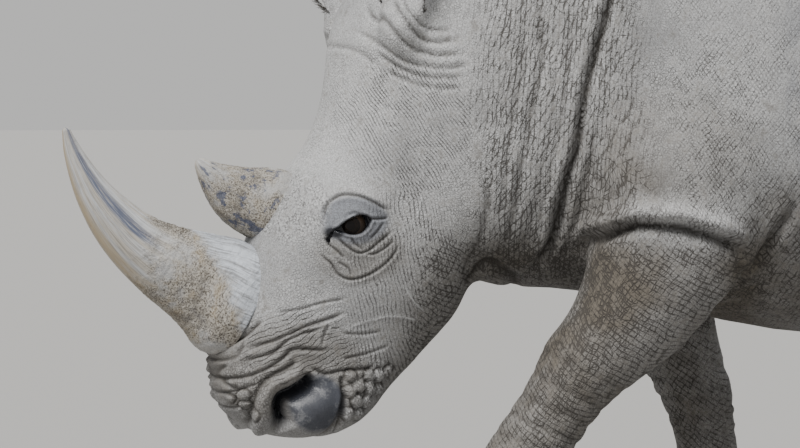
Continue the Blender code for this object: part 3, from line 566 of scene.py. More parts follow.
SHOULDER_FOLDS = (
    (1, 26.0, 10.0, 20.0, 0.0, ((-0.700, 0.700), (-0.690, 0.727), (-0.664, 0.744), (-0.625, 0.757),
                                (-0.584, 0.757), (-0.523, 0.747), (-0.459, 0.728),
                                (-0.437, 0.710), (-0.432, 0.690))),
    (1, 12.0, 10.0, 6.0, 4.0, ((-0.330, 0.800), (-0.350, 0.757), (-0.380, 0.705), (-0.410, 0.662),
                               (-0.440, 0.625), (-0.480, 0.585))),
    (1, 8.0, 7.0, 4.0, 0.0, ((-0.440, 0.690), (-0.420, 0.672), (-0.400, 0.640))),
    (-1, 20.0, 12.0, 16.0, 0.0, ((-0.620, 0.700), (-0.600, 0.735), (-0.560, 0.755),
                                 (-0.480, 0.757), (-0.400, 0.745), (-0.345, 0.722),
                                 (-0.320, 0.690))),
    (-1, 12.0, 11.0, 6.0, 4.0, ((-0.220, 0.800), (-0.245, 0.740), (-0.285, 0.680),
                                (-0.330, 0.630))),
    (0, 5.0, 12.0, 3.0, 3.0, ((-0.240, 1.180), (-0.215, 1.060), (-0.215, 0.940), (-0.250, 0.830))),
    (0, 4.0, 10.0, 2.0, 2.0, ((-0.160, 1.080), (-0.140, 0.960), (-0.150, 0.850), (-0.190, 0.740))),
)
REAR_FOLDS = (
    (0, 20.0, 17.0, 10.0, 8.0, ((0.690, 0.560), (0.745, 0.620), (0.775, 0.700), (0.785, 0.790),
                                (0.780, 0.880))),
    (0, 10.0, 14.0, 5.0, 5.0, ((0.620, 0.560), (0.660, 0.640), (0.680, 0.720), (0.685, 0.790))),
    (0, 7.0, 14.0, 4.0, 4.0, ((0.790, 0.980), (0.800, 1.080), (0.830, 1.180))),
    (0, 9.0, 12.0, 5.0, 5.0, ((1.480, 1.260), (1.440, 1.140), (1.420, 1.020), (1.400, 0.900),
                              (1.370, 0.800))),
    (0, 7.0, 12.0, 3.0, 3.0, ((1.400, 1.280), (1.350, 1.180), (1.330, 1.060), (1.310, 0.950))),
    (0, 6.0, 12.0, 3.0, 3.0, ((1.200, 0.800), (1.245, 0.720), (1.260, 0.640), (1.250, 0.560))),
    (0, 7.0, 11.0, 4.0, 3.0, ((0.860, 0.740), (0.900, 0.680), (0.940, 0.650), (1.000, 0.640))),
    (0, 5.0, 10.0, 3.0, 3.0, ((0.890, 0.620), (0.940, 0.590), (1.010, 0.585))),
    (0, 6.0, 10.0, 2.0, 2.0, ((1.440, 1.430), (1.400, 1.450), (1.360, 1.430))),
    (0, 5.0, 9.0, 2.0, 2.0, ((1.470, 1.330), (1.440, 1.320), (1.410, 1.340))),
)
LEG_RINGS = (                    # leg, height at its middle, slope, depth, width
    (0, 0.455, -0.55, 2.6, 6.0), (0, 0.425, -0.50, 2.2, 6.0), (0, 0.395, -0.45, 2.6, 6.0),
    (0, 0.365, -0.40, 2.2, 6.0), (0, 0.490, -0.50, 1.6, 6.0), (0, 0.200, -0.25, 6.0, 7.0),
    (0, 0.165, -0.20, 6.0, 7.0), (0, 0.240, -0.25, 3.5, 6.0), (0, 0.300, -0.30, 3.0, 6.0),
    (1, 0.430, -0.10, 6.0, 7.0), (1, 0.400, -0.05, 5.0, 6.0), (1, 0.365, 0.00, 4.5, 6.0),
    (1, 0.335, 0.05, 4.0, 6.0), (1, 0.200, 0.05, 6.0, 8.0), (1, 0.165, 0.00, 6.0, 8.0),
    (1, 0.480, -0.10, 3.5, 7.0), (1, 0.260, 0.00, 3.0, 6.0),
    (2, 0.200, 0.05, 7.0, 8.0), (2, 0.160, 0.00, 6.0, 8.0), (2, 0.240, 0.08, 4.0, 8.0),
    (2, 0.480, 0.45, 5.0, 9.0), (2, 0.440, 0.40, 4.0, 8.0), (2, 0.520, 0.40, 4.0, 9.0),
    (3, 0.200, 0.05, 7.0, 8.0), (3, 0.160, 0.00, 6.0, 8.0), (3, 0.240, 0.08, 4.0, 8.0),
    (3, 0.480, 0.45, 5.0, 9.0), (3, 0.440, 0.40, 4.0, 8.0), (3, 0.520, 0.40, 4.0, 9.0),
)
# The nostril's rim, upper corner to lip, and the opening between the lids
NOSTRIL_RIM = (-1.206, 0.494), (-1.219, 0.481), (-1.238, 0.469), (-1.266, 0.455), \
    (-1.275, 0.440), (-1.277, 0.420), (-1.274, 0.396), (-1.262, 0.372)
UPPER_LID = (-1.168, 0.745), (-1.152, 0.759), (-1.137, 0.768), (-1.121, 0.773), \
    (-1.109, 0.770), (-1.103, 0.763)
LOWER_LID = (-1.103, 0.763), (-1.110, 0.748), (-1.121, 0.739), (-1.138, 0.736), \
    (-1.155, 0.740), (-1.168, 0.745)
EYE_RADIUS = 0.024
LID_THICKNESS = 0.0040
LUMPS = ((0.110, 4.0, 11), (0.045, 1.6, 12), (0.022, 0.7, 13))   # size, height in mm, seed
WOBBLE = ((0.060, 3.5), (0.018, 1.2))                           # size, shift in mm
NOISE_TABLE = 8192
NOISE_STEPS = (73856093, 19349663, 83492791)   # large primes that scatter the grid's corners
RING_SHARES = (-1.35, -0.7, 0.0, 0.7, 1.35)
RING_SAG = 0.012


def noise(at, size, seed):
    """Smooth noise in -1..1: random corner values of a cubic grid, blended by s^2 (3 - 2 s)."""
    table = np.random.default_rng(seed).uniform(-1.0, 1.0, NOISE_TABLE)
    p, q, r = NOISE_STEPS
    cell = np.floor(at / size)
    f = at / size - cell
    f = f * f * (3.0 - 2.0 * f)
    i, j, k = cell.astype(np.int64).T
    total = 0.0
    for dx in (0, 1):
        for dy in (0, 1):
            for dz in (0, 1):
                key = ((i + dx) * p) ^ ((j + dy) * q) ^ ((k + dz) * r)
                share = np.prod(np.where([dx, dy, dz], f, 1.0 - f), axis=1)
                total = total + share * table[key % NOISE_TABLE]
    return total


def curve_through(corners, share=8):
    """A smooth curve in (y, z) through the corners, share points to a stretch."""
    rows = np.array(corners, float)
    return through(np.hstack([rows, np.zeros((len(rows), 1))]), (len(rows) - 1) * share + 1)[:, :2]


def beside(flat, line):
    """For places (n, 2): distance to a line, left side positive, and share of its length."""
    start, step = line[:-1], np.diff(line, axis=0)
    length = np.hypot(*step.T)
    run = np.concatenate([[0.0], np.cumsum(length)])
    away, share = np.full(len(flat), np.inf), np.zeros(len(flat))
    for k in range(len(step)):
        rel = flat - start[k]
        t = np.clip(rel @ step[k] / length[k] ** 2, 0.0, 1.0)
        off = rel - t[:, None] * step[k]
        side = np.sign(step[k, 0] * off[:, 1] - step[k, 1] * off[:, 0])
        gap = np.hypot(*off.T)
        closer = gap < np.abs(away)
        away = np.where(closer, gap * np.where(side == 0.0, 1.0, side), away)
        share = np.where(closer, (run[k] + t * length[k]) / run[-1], share)
    return away, share


def near(flat, corners, reach):
    """Which places lie in the corners' box, grown by reach."""
    low, high = np.min(corners, axis=0) - reach, np.max(corners, axis=0) + reach
    return np.all((flat > low) & (flat < high), axis=1)


def ring_row(leg, height, slope, depth, width):
    """A leg's ring as a fold: a slanted route across the leg's section at that height."""
    table, side, step = FEET[leg][1:]
    rows = np.array(table)[::-1]
    y, length = (np.interp(height, rows[:, 0], rows[:, i]) for i in (1, 2))
    y = y + step * (1.0 - ease(height, 0.0, HIND_STEP_TOP))
    route = [(y + share * length, height + slope * share * length - RING_SAG * share * share)
             for share in RING_SHARES]
    return (side, depth, width, 0.4 * depth, 0.3 * depth, route)


def wobble(at):
    """A small wander (n, 2) of the routes: the sum of h noise(size) over both sizes."""
    return np.stack([
        sum(noise(at, size, 20 + 7 * axis + k) * height * MM
            for k, (size, height) in enumerate(WOBBLE)) for axis in (0, 1)], axis=1)


FINE_FOLDS = EYE_FOLDS + MUZZLE_FOLDS + SCARS
BROAD_FOLDS = EAR_FOLDS + NECK_FOLDS + SHOULDER_FOLDS + REAR_FOLDS
BROAD_FOLDS += tuple(ring_row(*row) for row in LEG_RINGS)
FINE_WANDER = 0.35               # the face's routes wander less than the body's
FINE_EDGES, BROAD_EDGES = (1.0, 1.8), (1.7, 2.6)   # left and right, as shares of a width
ROUTES = [(row, curve_through(row[-1]), FINE_WANDER, FINE_EDGES) for row in FINE_FOLDS]
ROUTES += [(row, curve_through(row[-1]), 1.0, BROAD_EDGES) for row in BROAD_FOLDS]


# ------------------------------------------------------------------ the skin's mesh
# Thick hide in one closed piece over every node of flesh. The joined form is thinned to
# few faces, and these are halved again and again where the hide is finely creased.
FORM_SHARE = 0.030               # share of the form's faces that the thinning keeps
EYE = from_head(np.array(0.400), np.array(-0.020), np.array(0.154))
EDGES = (                        # middle, radii, longest edge on the left, on the right
    ((-0.95, 0.80), (0.60, 0.50), 0.0280, 0.0340),
    ((-0.90, 0.85), (0.33, 0.45), 0.0150, 0.0220),
    ((-1.10, 0.78), (0.28, 0.36), 0.0130, 0.0180),
    ((-0.75, 0.95), (0.15, 0.40), 0.0130, 0.0220),
    ((-0.53, 0.76), (0.23, 0.16), 0.0130, 0.0220),
    ((-0.60, 0.55), (0.25, 0.25), 0.0180, 0.0280),
    ((-1.22, 0.48), (0.19, 0.15), 0.0078, 0.0110),
    ((-1.22, 0.45), (0.10, 0.08), 0.0050, 0.0085),
    ((-1.13, 0.735), (0.10, 0.10), 0.0062, 0.0095),
    ((-1.138, 0.757), (0.046, 0.040), 0.0025, 0.0042),
)
WIDEST_EDGE = 0.050
SHORTEST_EDGE = 0.0022
HALVINGS = 5
LEG_EDGE, FOOT_EDGE, LIMB_EDGE = 0.038, 0.022, 0.0125
LEG_TOP, FOOT_TOP = 0.55, 0.14
ROUTE_REACH = 1.9                # of a fold's width, to each side of its route


def longest_edge(at):
    """The longest edge wanted at each point: the least of the zones that hold it."""
    x, y, z = at.T
    found = np.full(len(at), WIDEST_EDGE)
    found = np.where(z < LEG_TOP, LEG_EDGE, found)
    found = np.where(z < FOOT_TOP, FOOT_EDGE, found)
    tail = (y > 1.53) & (np.abs(x) < 0.07) & (z < 1.40)
    ear = (z > 1.09) & (y < -0.93) & (np.abs(x) > 0.11)
    found = np.where(tail | ear, np.minimum(found, LIMB_EDGE), found)
    for (y0, z0), (ry, rz), left, right in EDGES:
        inside = ((y - y0) / ry) ** 2 + ((z - z0) / rz) ** 2 < 1.0
        found = np.where(inside, np.minimum(found, np.where(x > 0.0, left, right)), found)
    return found


def longest_on_routes(at):
    """The longest edge wanted near a route, a share of its width, and no limit elsewhere."""
    shift, flat, found = wobble(at), at[:, 1:], np.full(len(at), WIDEST_EDGE)
    for (side, _, width, *_, corners), line, wander, (left, right) in ROUTES:
        width = width * MM
        here = flat + wander * shift
        held = np.flatnonzero(near(here, corners, 2.0 * width) & (at[:, 0] * side >= 0.0))
        held = held[np.abs(beside(here[held], line)[0]) < ROUTE_REACH * width]
        fine = width * np.where(at[held, 0] > 0.0, left, right)
        found[held] = np.minimum(found[held], fine)
    return found


def halved(points, faces):
    """Halve each edge that is too long, and part its triangles in two, three or four."""
    ends = np.sort(faces[:, [0, 1, 1, 2, 2, 0]].reshape(-1, 2), axis=1).astype(np.int64)
    keys, home = np.unique(ends[:, 0] * len(points) + ends[:, 1], return_inverse=True)
    first, second = points[keys // len(points)], points[keys % len(points)]
    middle = 0.5 * (first + second)
    length = np.linalg.norm(first - second, axis=1)
    long = length > longest_edge(middle)
    rest = np.flatnonzero(~long & (length > SHORTEST_EDGE))
    long[rest] = length[rest] > longest_on_routes(middle[rest])
    number = np.full(len(keys), -1)
    number[long] = len(points) + np.arange(long.sum())
    mids = number[home.reshape(-1, 3)]
    count = (mids >= 0).sum(axis=1)
    turn = np.where(count == 1, np.argmax(mids >= 0, axis=1), (np.argmin(mids, axis=1) + 1) % 3)
    order = (turn[:, None] + np.arange(3)) % 3
    (a, b, c), (m, n, p) = (np.take_along_axis(rows, order, axis=1).T for rows in (faces, mids))
    placed = np.concatenate([points, middle[long]])
    one, two, three = count == 1, count == 2, count == 3
    across = (np.linalg.norm(placed[a] - placed[n], axis=1)
              < np.linalg.norm(placed[m] - placed[c], axis=1))
    parts = (
        (one, a, m, c), (one, m, b, c), (two, m, b, n),
        (two & across, a, m, n), (two & across, a, n, c),
        (two & ~across, a, m, c), (two & ~across, m, n, c),
        (three, a, m, p), (three, m, b, n), (three, p, n, c), (three, m, n, p),
    )
    made = [np.stack([k[chosen] for k in corners], axis=1) for chosen, *corners in parts]
    return placed, np.concatenate([faces[count == 0], *made])


def evened(points, faces, rounds):
    """Move each point half way to the mean of its neighbours, rounds times."""
    a, b = faces[:, [0, 1, 2]].ravel(), faces[:, [1, 2, 0]].ravel()
    share = np.bincount(a, minlength=len(points))[:, None]
    for _ in range(rounds):
        mean = np.stack([np.bincount(a, points[b, i], len(points)) for i in range(3)], axis=1)
        points = 0.5 * points + 0.5 * mean / share
    return points


def normals_of(points, faces):
    """Each point's unit normal: the sum of its faces' cross products, at length one."""
    a, b, c = (points[faces[:, i]] for i in range(3))
    face = np.cross(b - a, c - a)
    total = np.stack([
        sum(np.bincount(faces[:, k], face[:, i], len(points)) for k in range(3))
        for i in range(3)
    ], axis=1)
    return total / np.maximum(np.linalg.norm(total, axis=1), 1e-12)[:, None]


thin = form.copy()
thin.data = form.data.copy()
bpy.context.scene.collection.objects.link(thin)
use(thin, "DECIMATE", ratio=FORM_SHARE)
points, faces = arrays_of(thin)
bpy.data.objects.remove(thin)
for _ in range(HALVINGS):
    points, faces = halved(points, faces)
points = evened(points, faces, 2)
hide = sheet_mesh("skin", points, faces)
use(hide, "SHRINKWRAP", target=form)
points, faces = arrays_of(hide)
bpy.data.objects.remove(hide)
bpy.data.objects.remove(form)
normals = normals_of(points, faces)

# ------------------------------------------------------------------ the hide drawn up
# The mesh is pushed out over muscle and bone and pressed in along every route, and the
# pads of the lips, the mouth, the nostrils and the lids are worked into it.
MARK_SHARE = 0.62                # the painted shade in a fold is narrower than the fold
MARK_LEAST, MARK_PER_MM = 0.20, 0.13
FOLD_REACH = 6.0                 # of its width, as far as a fold is felt
FOLD_FADE = 0.16                 # share of a route's length over which each end dies out
ROLL_AWAY, ROLL_WIDTH = 2.0, 1.4 # as shares of the fold's width


def press(row, line, flat):
    """Press a route in: -d exp(-(s / w)^2), with rolls r exp(-((|s| - 2 w) / 1.4 w)^2).

    A fold gets painted shade along its own line, and a raised scar, whose depth is below 0, pales
    it.
    """
    side, depth, width, left, right, corners = row
    width = width * MM
    held = near(flat, corners, FOLD_REACH * width) & (seat[:, 0] * side >= 0.0)
    s, t = beside(flat[held], line)
    fade = ease(t, 0.0, FOLD_FADE) * ease(1.0 - t, 0.0, FOLD_FADE)
    roll = np.exp(-((np.abs(s) - ROLL_AWAY * width) / (ROLL_WIDTH * width)) ** 2)
    roll = roll * np.where(s > 0.0, left, right)
    lift[held] += MM * fade * (roll - depth * np.exp(-(s / width) ** 2))
    mark = dark if depth > 0.0 else pale
    mark[held] = np.maximum(mark[held], fade * np.exp(-(s / (MARK_SHARE * width)) ** 2)
                            * min(1.0, MARK_LEAST + MARK_PER_MM * abs(depth)))


seat = points.copy()             # places before any fold, which every pattern follows
shift = wobble(seat)
flat = seat[:, 1:]
lift = np.zeros(len(seat))
# dark holds painted shade in folds and recesses; pale holds the scars' own pale lines
dark, pale = np.zeros(len(seat)), np.zeros(len(seat))
for (mx, my, mz), radii, height in MASSES:
    off = (np.abs(seat[:, 0]) - mx, seat[:, 1] - my, seat[:, 2] - mz)
    lift += height * MM * np.exp(-sum((o / r) ** 2 for o, r in zip(off, radii)))
for row, line, wander, _ in ROUTES:
    press(row, line, flat + wander * shift)

# Pads of the lips: domes h sqrt(1 - (d / r)^2) parted by narrow grooves
PAD_RISE, GROOVE_DEPTH = 1.6, 3.0
GROOVE_AT, GROOVE_WIDTH = 1.05, 0.22   # as shares of a pad's radius
pads = np.zeros(len(seat))
gap = np.zeros(len(seat))
for place, radius, height in LIP_PADS:
    d = np.hypot(*(flat + 0.5 * shift - place).T) / (radius * MM)
    pads = np.maximum(pads, height * np.sqrt(np.clip(1.0 - d * d, 0.0, 1.0)))
    gap = np.maximum(gap, np.exp(-((d - GROOVE_AT) / GROOVE_WIDTH) ** 2))
outer = ease(np.abs(seat[:, 0]), 0.03, 0.07)
lift += MM * outer * (PAD_RISE * pads - GROOVE_DEPTH * gap * (pads < 2.0))
# painted shade in the grooves between the lip pads
dark = np.maximum(dark, 0.9 * outer * gap * (pads < 1.5))

# The mouth: one deep narrow slit
MOUTH_WIDTH, MOUTH_DEPTH, MOUTH_BELOW = 0.0045, 0.012, 0.03
s, t = beside(flat, curve_through(MOUTH))
slit = np.exp(-(s / MOUTH_WIDTH) ** 2) * ease(t, 0.0, 0.10)
slit = slit * ease(-s + MOUTH_BELOW, 0.0, MOUTH_BELOW)
lift -= MOUTH_DEPTH * slit
# painted shade in the mouth's slit
dark = np.maximum(dark, slit)

# The nostril: a steep wall under the rim, from which the floor rises to the bulb behind.
# The rim is a fleshy roll c exp(-((s + a) / b)^2) with a groove of the same form behind.
NOSTRIL_REACH, NOSTRIL_DEPTH = 0.10, 0.040
WALL_START, WALL_END, FLOOR_RUN, FLOOR_POWER = -0.001, 0.007, 0.028, 1.7
RIM_AT, RIM_WIDTH, RIM_RISE = 0.0125, 0.0105, 0.0125
BACK_AT, BACK_WIDTH, BACK_DEPTH = 0.0290, 0.0042, 0.0060
s, t = beside(flat, curve_through(NOSTRIL_RIM))
along = ease(t, 0.0, 0.10) * ease(1.0 - t, 0.0, 0.12) * outer
along = np.where(np.abs(s) < NOSTRIL_REACH, along, 0.0)
cavity = along * ease(s, WALL_START, WALL_END)
cavity = cavity * np.exp(-(np.clip(s, 0.0, 1.0) / FLOOR_RUN) ** FLOOR_POWER)
rim_roll = along * np.exp(-((s + RIM_AT) / RIM_WIDTH) ** 2)
rim_edge = along * np.exp(-((s + BACK_AT) / BACK_WIDTH) ** 2)
lift += RIM_RISE * rim_roll - BACK_DEPTH * rim_edge - NOSTRIL_DEPTH * cavity
# painted shade in the groove behind the nostril's rim
dark = np.maximum(dark, 0.8 * rim_edge)

# The eye: lids that lie on the globe, and a hollow between them
LID_REACH, LID_EDGE, EYE_REACH, FACE_SIDE = 0.024, 0.008, 0.06, 0.10
LID_KEEPS = 0.35                 # share of the folds that stays on the lids
HOLLOW_DEPTH = 0.0125
LID_ROLL_AT, LID_ROLL_WIDTH, LID_ROLL = 0.0028, 0.0022, 0.0016
outline = np.concatenate([curve_through(UPPER_LID), curve_through(LOWER_LID)[1:]])
s, t = beside(flat, outline)
inside = -s
from_middle = np.abs(seat[:, 0])
beside_eye = from_middle > FACE_SIDE
d = np.hypot(flat[:, 0] - EYE[1], flat[:, 1] - EYE[2])
globe = EYE[0] + np.sqrt(np.clip(EYE_RADIUS**2 - d * d, 0.0, None))
lid = globe + LID_THICKNESS
hug = ease(LID_REACH - d, 0.0, LID_EDGE) * beside_eye
reach = (lid - from_middle) * hug
lift = np.where(hug > 0.0, lift * (1.0 - hug) + reach + LID_KEEPS * hug * lift, lift)
opening = ease(inside, -0.0006, 0.0016) * beside_eye * (d < EYE_REACH)
lift -= HOLLOW_DEPTH * opening
roll = np.exp(-((inside + LID_ROLL_AT) / LID_ROLL_WIDTH) ** 2)
lift += LID_ROLL * roll * (d < EYE_REACH) * beside_eye

for size, height, seed in LUMPS:
    lift += height * MM * noise(seat, size, seed) * np.where(seat[:, 1] < -1.0, 0.5, 1.0)
points = seat + normals * lift[:, None]
points[:, 2] = np.maximum(points[:, 2], 0.0)

TURN_ANGLE = math.radians(9.0)   # the head is carried a little to the left
TURN_AXIS_Y = -0.70
TURN_AHEAD = (0.50, 0.95)
TURN_RISE = (0.86, 1.02)


def turned(at):
    """Turn places about an upright axis in the neck by angle e(-y) e(-0.8 y + 0.6 z)."""
    x, y, z = at.T
    angle = TURN_ANGLE * ease(-y, *TURN_AHEAD) * ease(-0.8 * y + 0.6 * z, *TURN_RISE)
    c, s = np.cos(angle), np.sin(angle)
    ahead = y - TURN_AXIS_Y
    return np.stack([x * c - ahead * s, x * s + ahead * c + TURN_AXIS_Y, z], axis=1)


skin = sheet_mesh("skin", turned(points), faces)
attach(skin, "root")
FLESH = ["head", "neck", "trunk", "tail", "ear_left", "ear_right"]
FLESH += [part + name for name, *_ in FEET for part in ("leg_", "foot_")]
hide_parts(*FLESH)


# ------------------------------------------------------------------ the hide's finish
# Dusty grey hide, crossed by fine lines that draw long diamonds on the neck and a square
# net on the forearms. Pale dust lies on the head and back, with a painted highlight on the
# shoulder flap's roll; legs and rear are darker, and folds, recesses, down-facing skin and
# the skin under the eye get painted shade.
HIDE_PALE = (0.530, 0.534, 0.540)
HIDE_GREY = (0.286, 0.289, 0.296)
HIDE_BROWN = (0.134, 0.118, 0.096)
HIDE_DARK = (0.042, 0.037, 0.032)
HIDE_SLATE = (0.027, 0.033, 0.050)
# wet skin at the tear, and near-black painted shade in the nostril's cavity and the eye's hollow
HIDE_WET_AND_SHADE = (0.016, 0.017, 0.021)
LID_GREY = (0.116, 0.132, 0.168)


def numbers(item, name, values):
    """Store one number, or one vector, for each point of a mesh."""
    values = np.asarray(values, np.float32)
    kind, key = ("FLOAT_VECTOR", "vector") if values.ndim == 2 else ("FLOAT", "value")
    item.data.attributes.new(name, kind, "POINT").data.foreach_set(key, values.ravel())


def zone(y, z, radius_y, radius_z, edge=0.6):
    """1 inside an ellipse about (y, z), easing to 0 over a share of its radius outside."""
    reach = np.hypot((seat[:, 1] - y) / radius_y, (seat[:, 2] - z) / radius_z)
    return ease(1.0 + edge - reach, 0.0, edge)


x, y, z = seat.T
sides = ease(np.abs(x), 0.06, 0.12)
forearm = ease(0.76 - z, 0.0, 0.08) * ease(-0.30 - y, 0.0, 0.10) * ease(y + 1.05, 0.0, 0.08)
legs = ease(0.85 - z, 0.0, 0.65) * ease(y + 1.10, 0.0, 0.10)
bulb = ease(1.25 - np.hypot(y + 1.193, z - 0.434) / 0.046, 0.0, 0.30) * sides
around_eye = zone(-1.132, 0.762, 0.050, 0.036, 0.35) * sides
tear = zone(-1.168, 0.741, 0.011, 0.006, 1.2) * sides
for name, values in {
        "place": seat,
        "neck": zone(-0.765, 0.96, 0.10, 0.30, 1.1) * sides,
        "arm": np.maximum(forearm, 0.8 * legs),
        "behind": np.maximum(zone(-0.33, 0.68, 0.10, 0.12), 0.5 * zone(-0.66, 0.72, 0.07, 0.12)),
        "cheek": zone(-1.04, 0.64, 0.08, 0.16),
        "brow": zone(-1.03, 0.93, 0.08, 0.10),
        "flank": ease(y, -0.62, -0.50) * ease(z, 0.55, 0.75),
        "muzzle": zone(-1.235, 0.530, 0.085, 0.055) * sides,
        "lip": np.maximum(zone(-1.10, 0.45, 0.07, 0.05), zone(-1.33, 0.44, 0.05, 0.06)),
        "smooth": np.maximum(bulb, 0.40 * around_eye),
        "bulb": bulb,
        "tear": tear,
        "around_eye": around_eye,
        # painted shade in the nostril's cavity and the hollow between the lids, which are also wet
        "wet_and_recess_shade": np.clip(np.maximum(1.5 * cavity, opening), 0.0, 1.0),
        # painted shade in folds, lip-pad gaps, the mouth and the nostril's rim, weaker towards the
        # rear
        "crease_shade": dark * (1.0 - 0.55 * ease(y, -0.55, -0.35)),
        # browner legs, rear and top of the back; the far legs get less brown, a painted lift of
        # their shade
        "low": np.maximum.reduce([(0.42 + 0.18 * ease(x, -0.05, 0.05)) * legs,
                                  0.42 * ease(y, -0.25, 0.35), 0.30 * ease(z, 1.45, 1.70),
                                  # painted shade on skin that faces down
                                  0.34 * ease(-normals[:, 2], 0.20, 0.85),
                                  # painted shade under the eye
                                  0.62 * zone(-1.12, 0.70, 0.06, 0.035, 0.8),
                                  0.66 * zone(-1.24, 0.49, 0.11, 0.07),
                                  0.60 * zone(-0.55, 0.89, 0.09, 0.07, 1.0),
                                  0.22 * zone(-0.71, 0.76, 0.06, 0.12, 0.8)]),
        "smudge": zone(-0.26, 1.02, 0.07, 0.22, 1.0),
        "scar": pale,
        "scurf": zone(-1.238, 0.795, 0.056, 0.060, 0.35),
        # pale dust on the head, neck and back, and a painted highlight on the shoulder flap's roll
        "dust_and_highlight_zones": np.maximum.reduce([
            0.8 * zone(-0.785, 0.92, 0.10, 0.28, 0.8) * sides,
            zone(-1.13, 0.93, 0.07, 0.17), 0.7 * zone(-0.25, 1.20, 0.22, 0.30),
            0.9 * zone(-0.83, 1.15, 0.12, 0.20), 0.8 * zone(-1.03, 0.80, 0.10, 0.30),
            # a painted highlight along the roll above the shoulder's flap
            zone(-0.53, 0.788, 0.11, 0.018, 0.9)]),
}.items():
    numbers(skin, name, values)


class Tree:
    """A material and short names for the nodes that it is wired from."""

    def __init__(self, name, roughness, specular):
        """An otherwise plain material with this roughness and this share of gloss."""
        self.material = bpy.data.materials.new(name)
        self.material.use_nodes = True
        self.tree = self.material.node_tree
        self.shader = self.tree.nodes["Principled BSDF"]
        self.shader.inputs["Roughness"].default_value = roughness
        self.shader.inputs["Specular IOR Level"].default_value = specular

    def node(self, kind, inputs, **settings):
        """A node of a kind; an input given as a socket is wired, and a number is set."""
        made = self.tree.nodes.new("ShaderNode" + kind)
        for name, value in settings.items():
            setattr(made, name, value)
        for key, value in inputs.items():
            if isinstance(value, bpy.types.NodeSocket):
                self.tree.links.new(value, made.inputs[key])
            else:
                made.inputs[key].default_value = value
        return made

    def math(self, operation, a, b=0.0, c=0.0, clamp=False):
        """a and b, and c for MULTIPLY_ADD, under one operation."""
        made = self.node("Math", {0: a, 1: b, 2: c}, operation=operation, use_clamp=clamp)
        return made.outputs[0]

    def step(self, value, start, end, first=0.0, last=1.0):
        """first below start, last above end, and the smooth step 3 s^2 - 2 s^3 between."""
        return self.node("MapRange", {0: value, 1: start, 2: end, 3: first, 4: last},
                         interpolation_type="SMOOTHSTEP").outputs[0]

    def mix(self, share, a, b):
        """Colour a turning into colour b as share goes from 0 to 1."""
        a, b = (c if isinstance(c, bpy.types.NodeSocket) else (*c, 1.0) for c in (a, b))
        return self.node("Mix", {0: share, 6: a, 7: b}, data_type="RGBA").outputs[2]

    def read(self, name, output="Fac"):
        """What the mesh stores under a name."""
        return self.node("Attribute", {}, attribute_name=name).outputs[output]

    def noise(self, at, scale, detail=3.0, roughness=0.6, output="Fac"):
        """Fractal noise with so many cells in a metre."""
        return self.node("TexNoise", {"Vector": at, "Scale": scale, "Detail": detail,
                                      "Roughness": roughness}).outputs[output]

    def bent(self, at, scale, amount):
        """A place moved by smooth noise, up to half the amount each way."""
        shift = self.noise(at, scale, 2.0, 0.5, "Color")
        shift = self.node("VectorMath", {0: shift, 1: (0.5, 0.5, 0.5)}, operation="SUBTRACT")
        return self.node("VectorMath", {0: shift.outputs[0], 1: (amount,) * 3, 2: at},
                         operation="MULTIPLY_ADD").outputs[0]

    def lines(self, at, across, spacing, width):
        """Parallel lines square to a direction: the distance to the nearest, 1 on it."""
        along = np.array(across) / np.linalg.norm(across) / spacing
        found = self.node("VectorMath", {0: at, 1: tuple(along)}, operation="DOT_PRODUCT")
        near = self.math("PINGPONG", found.outputs["Value"], 0.5)
        return self.step(near, 0.0, 0.5 * width, 1.0, 0.0)

    def cells(self, at, size, width):
        """Edges of cells of a size: distance to the nearest edge, 1 on it."""
        scaled = self.node("VectorMath", {0: at, 1: tuple(1.0 / n for n in size)},
                           operation="MULTIPLY").outputs[0]
        found = self.node("TexVoronoi", {"Vector": scaled, "Scale": 1.0},
                          feature="DISTANCE_TO_EDGE").outputs["Distance"]
        return self.step(found, 0.0, width, 1.0, 0.0)

    def total(self, *terms):
        """The sum of pattern x where x depth."""
        so_far = 0.0
        for pattern, where, depth in terms:
            here = self.math("MULTIPLY", where, depth)
            so_far = self.math("MULTIPLY_ADD", pattern, here, so_far)
        return so_far

    def finish(self, colour, height=None, distance=0.001, roughness=None):
        """Wire the colour, the relief and the roughness into the shader."""
        self.tree.links.new(colour, self.shader.inputs["Base Color"])
        if height is not None:
            bump = self.node("Bump", {"Strength": 1.0, "Distance": distance, "Height": height})
            self.tree.links.new(bump.outputs["Normal"], self.shader.inputs["Normal"])
        if roughness is not None:
            self.tree.links.new(roughness, self.shader.inputs["Roughness"])
        return self.material


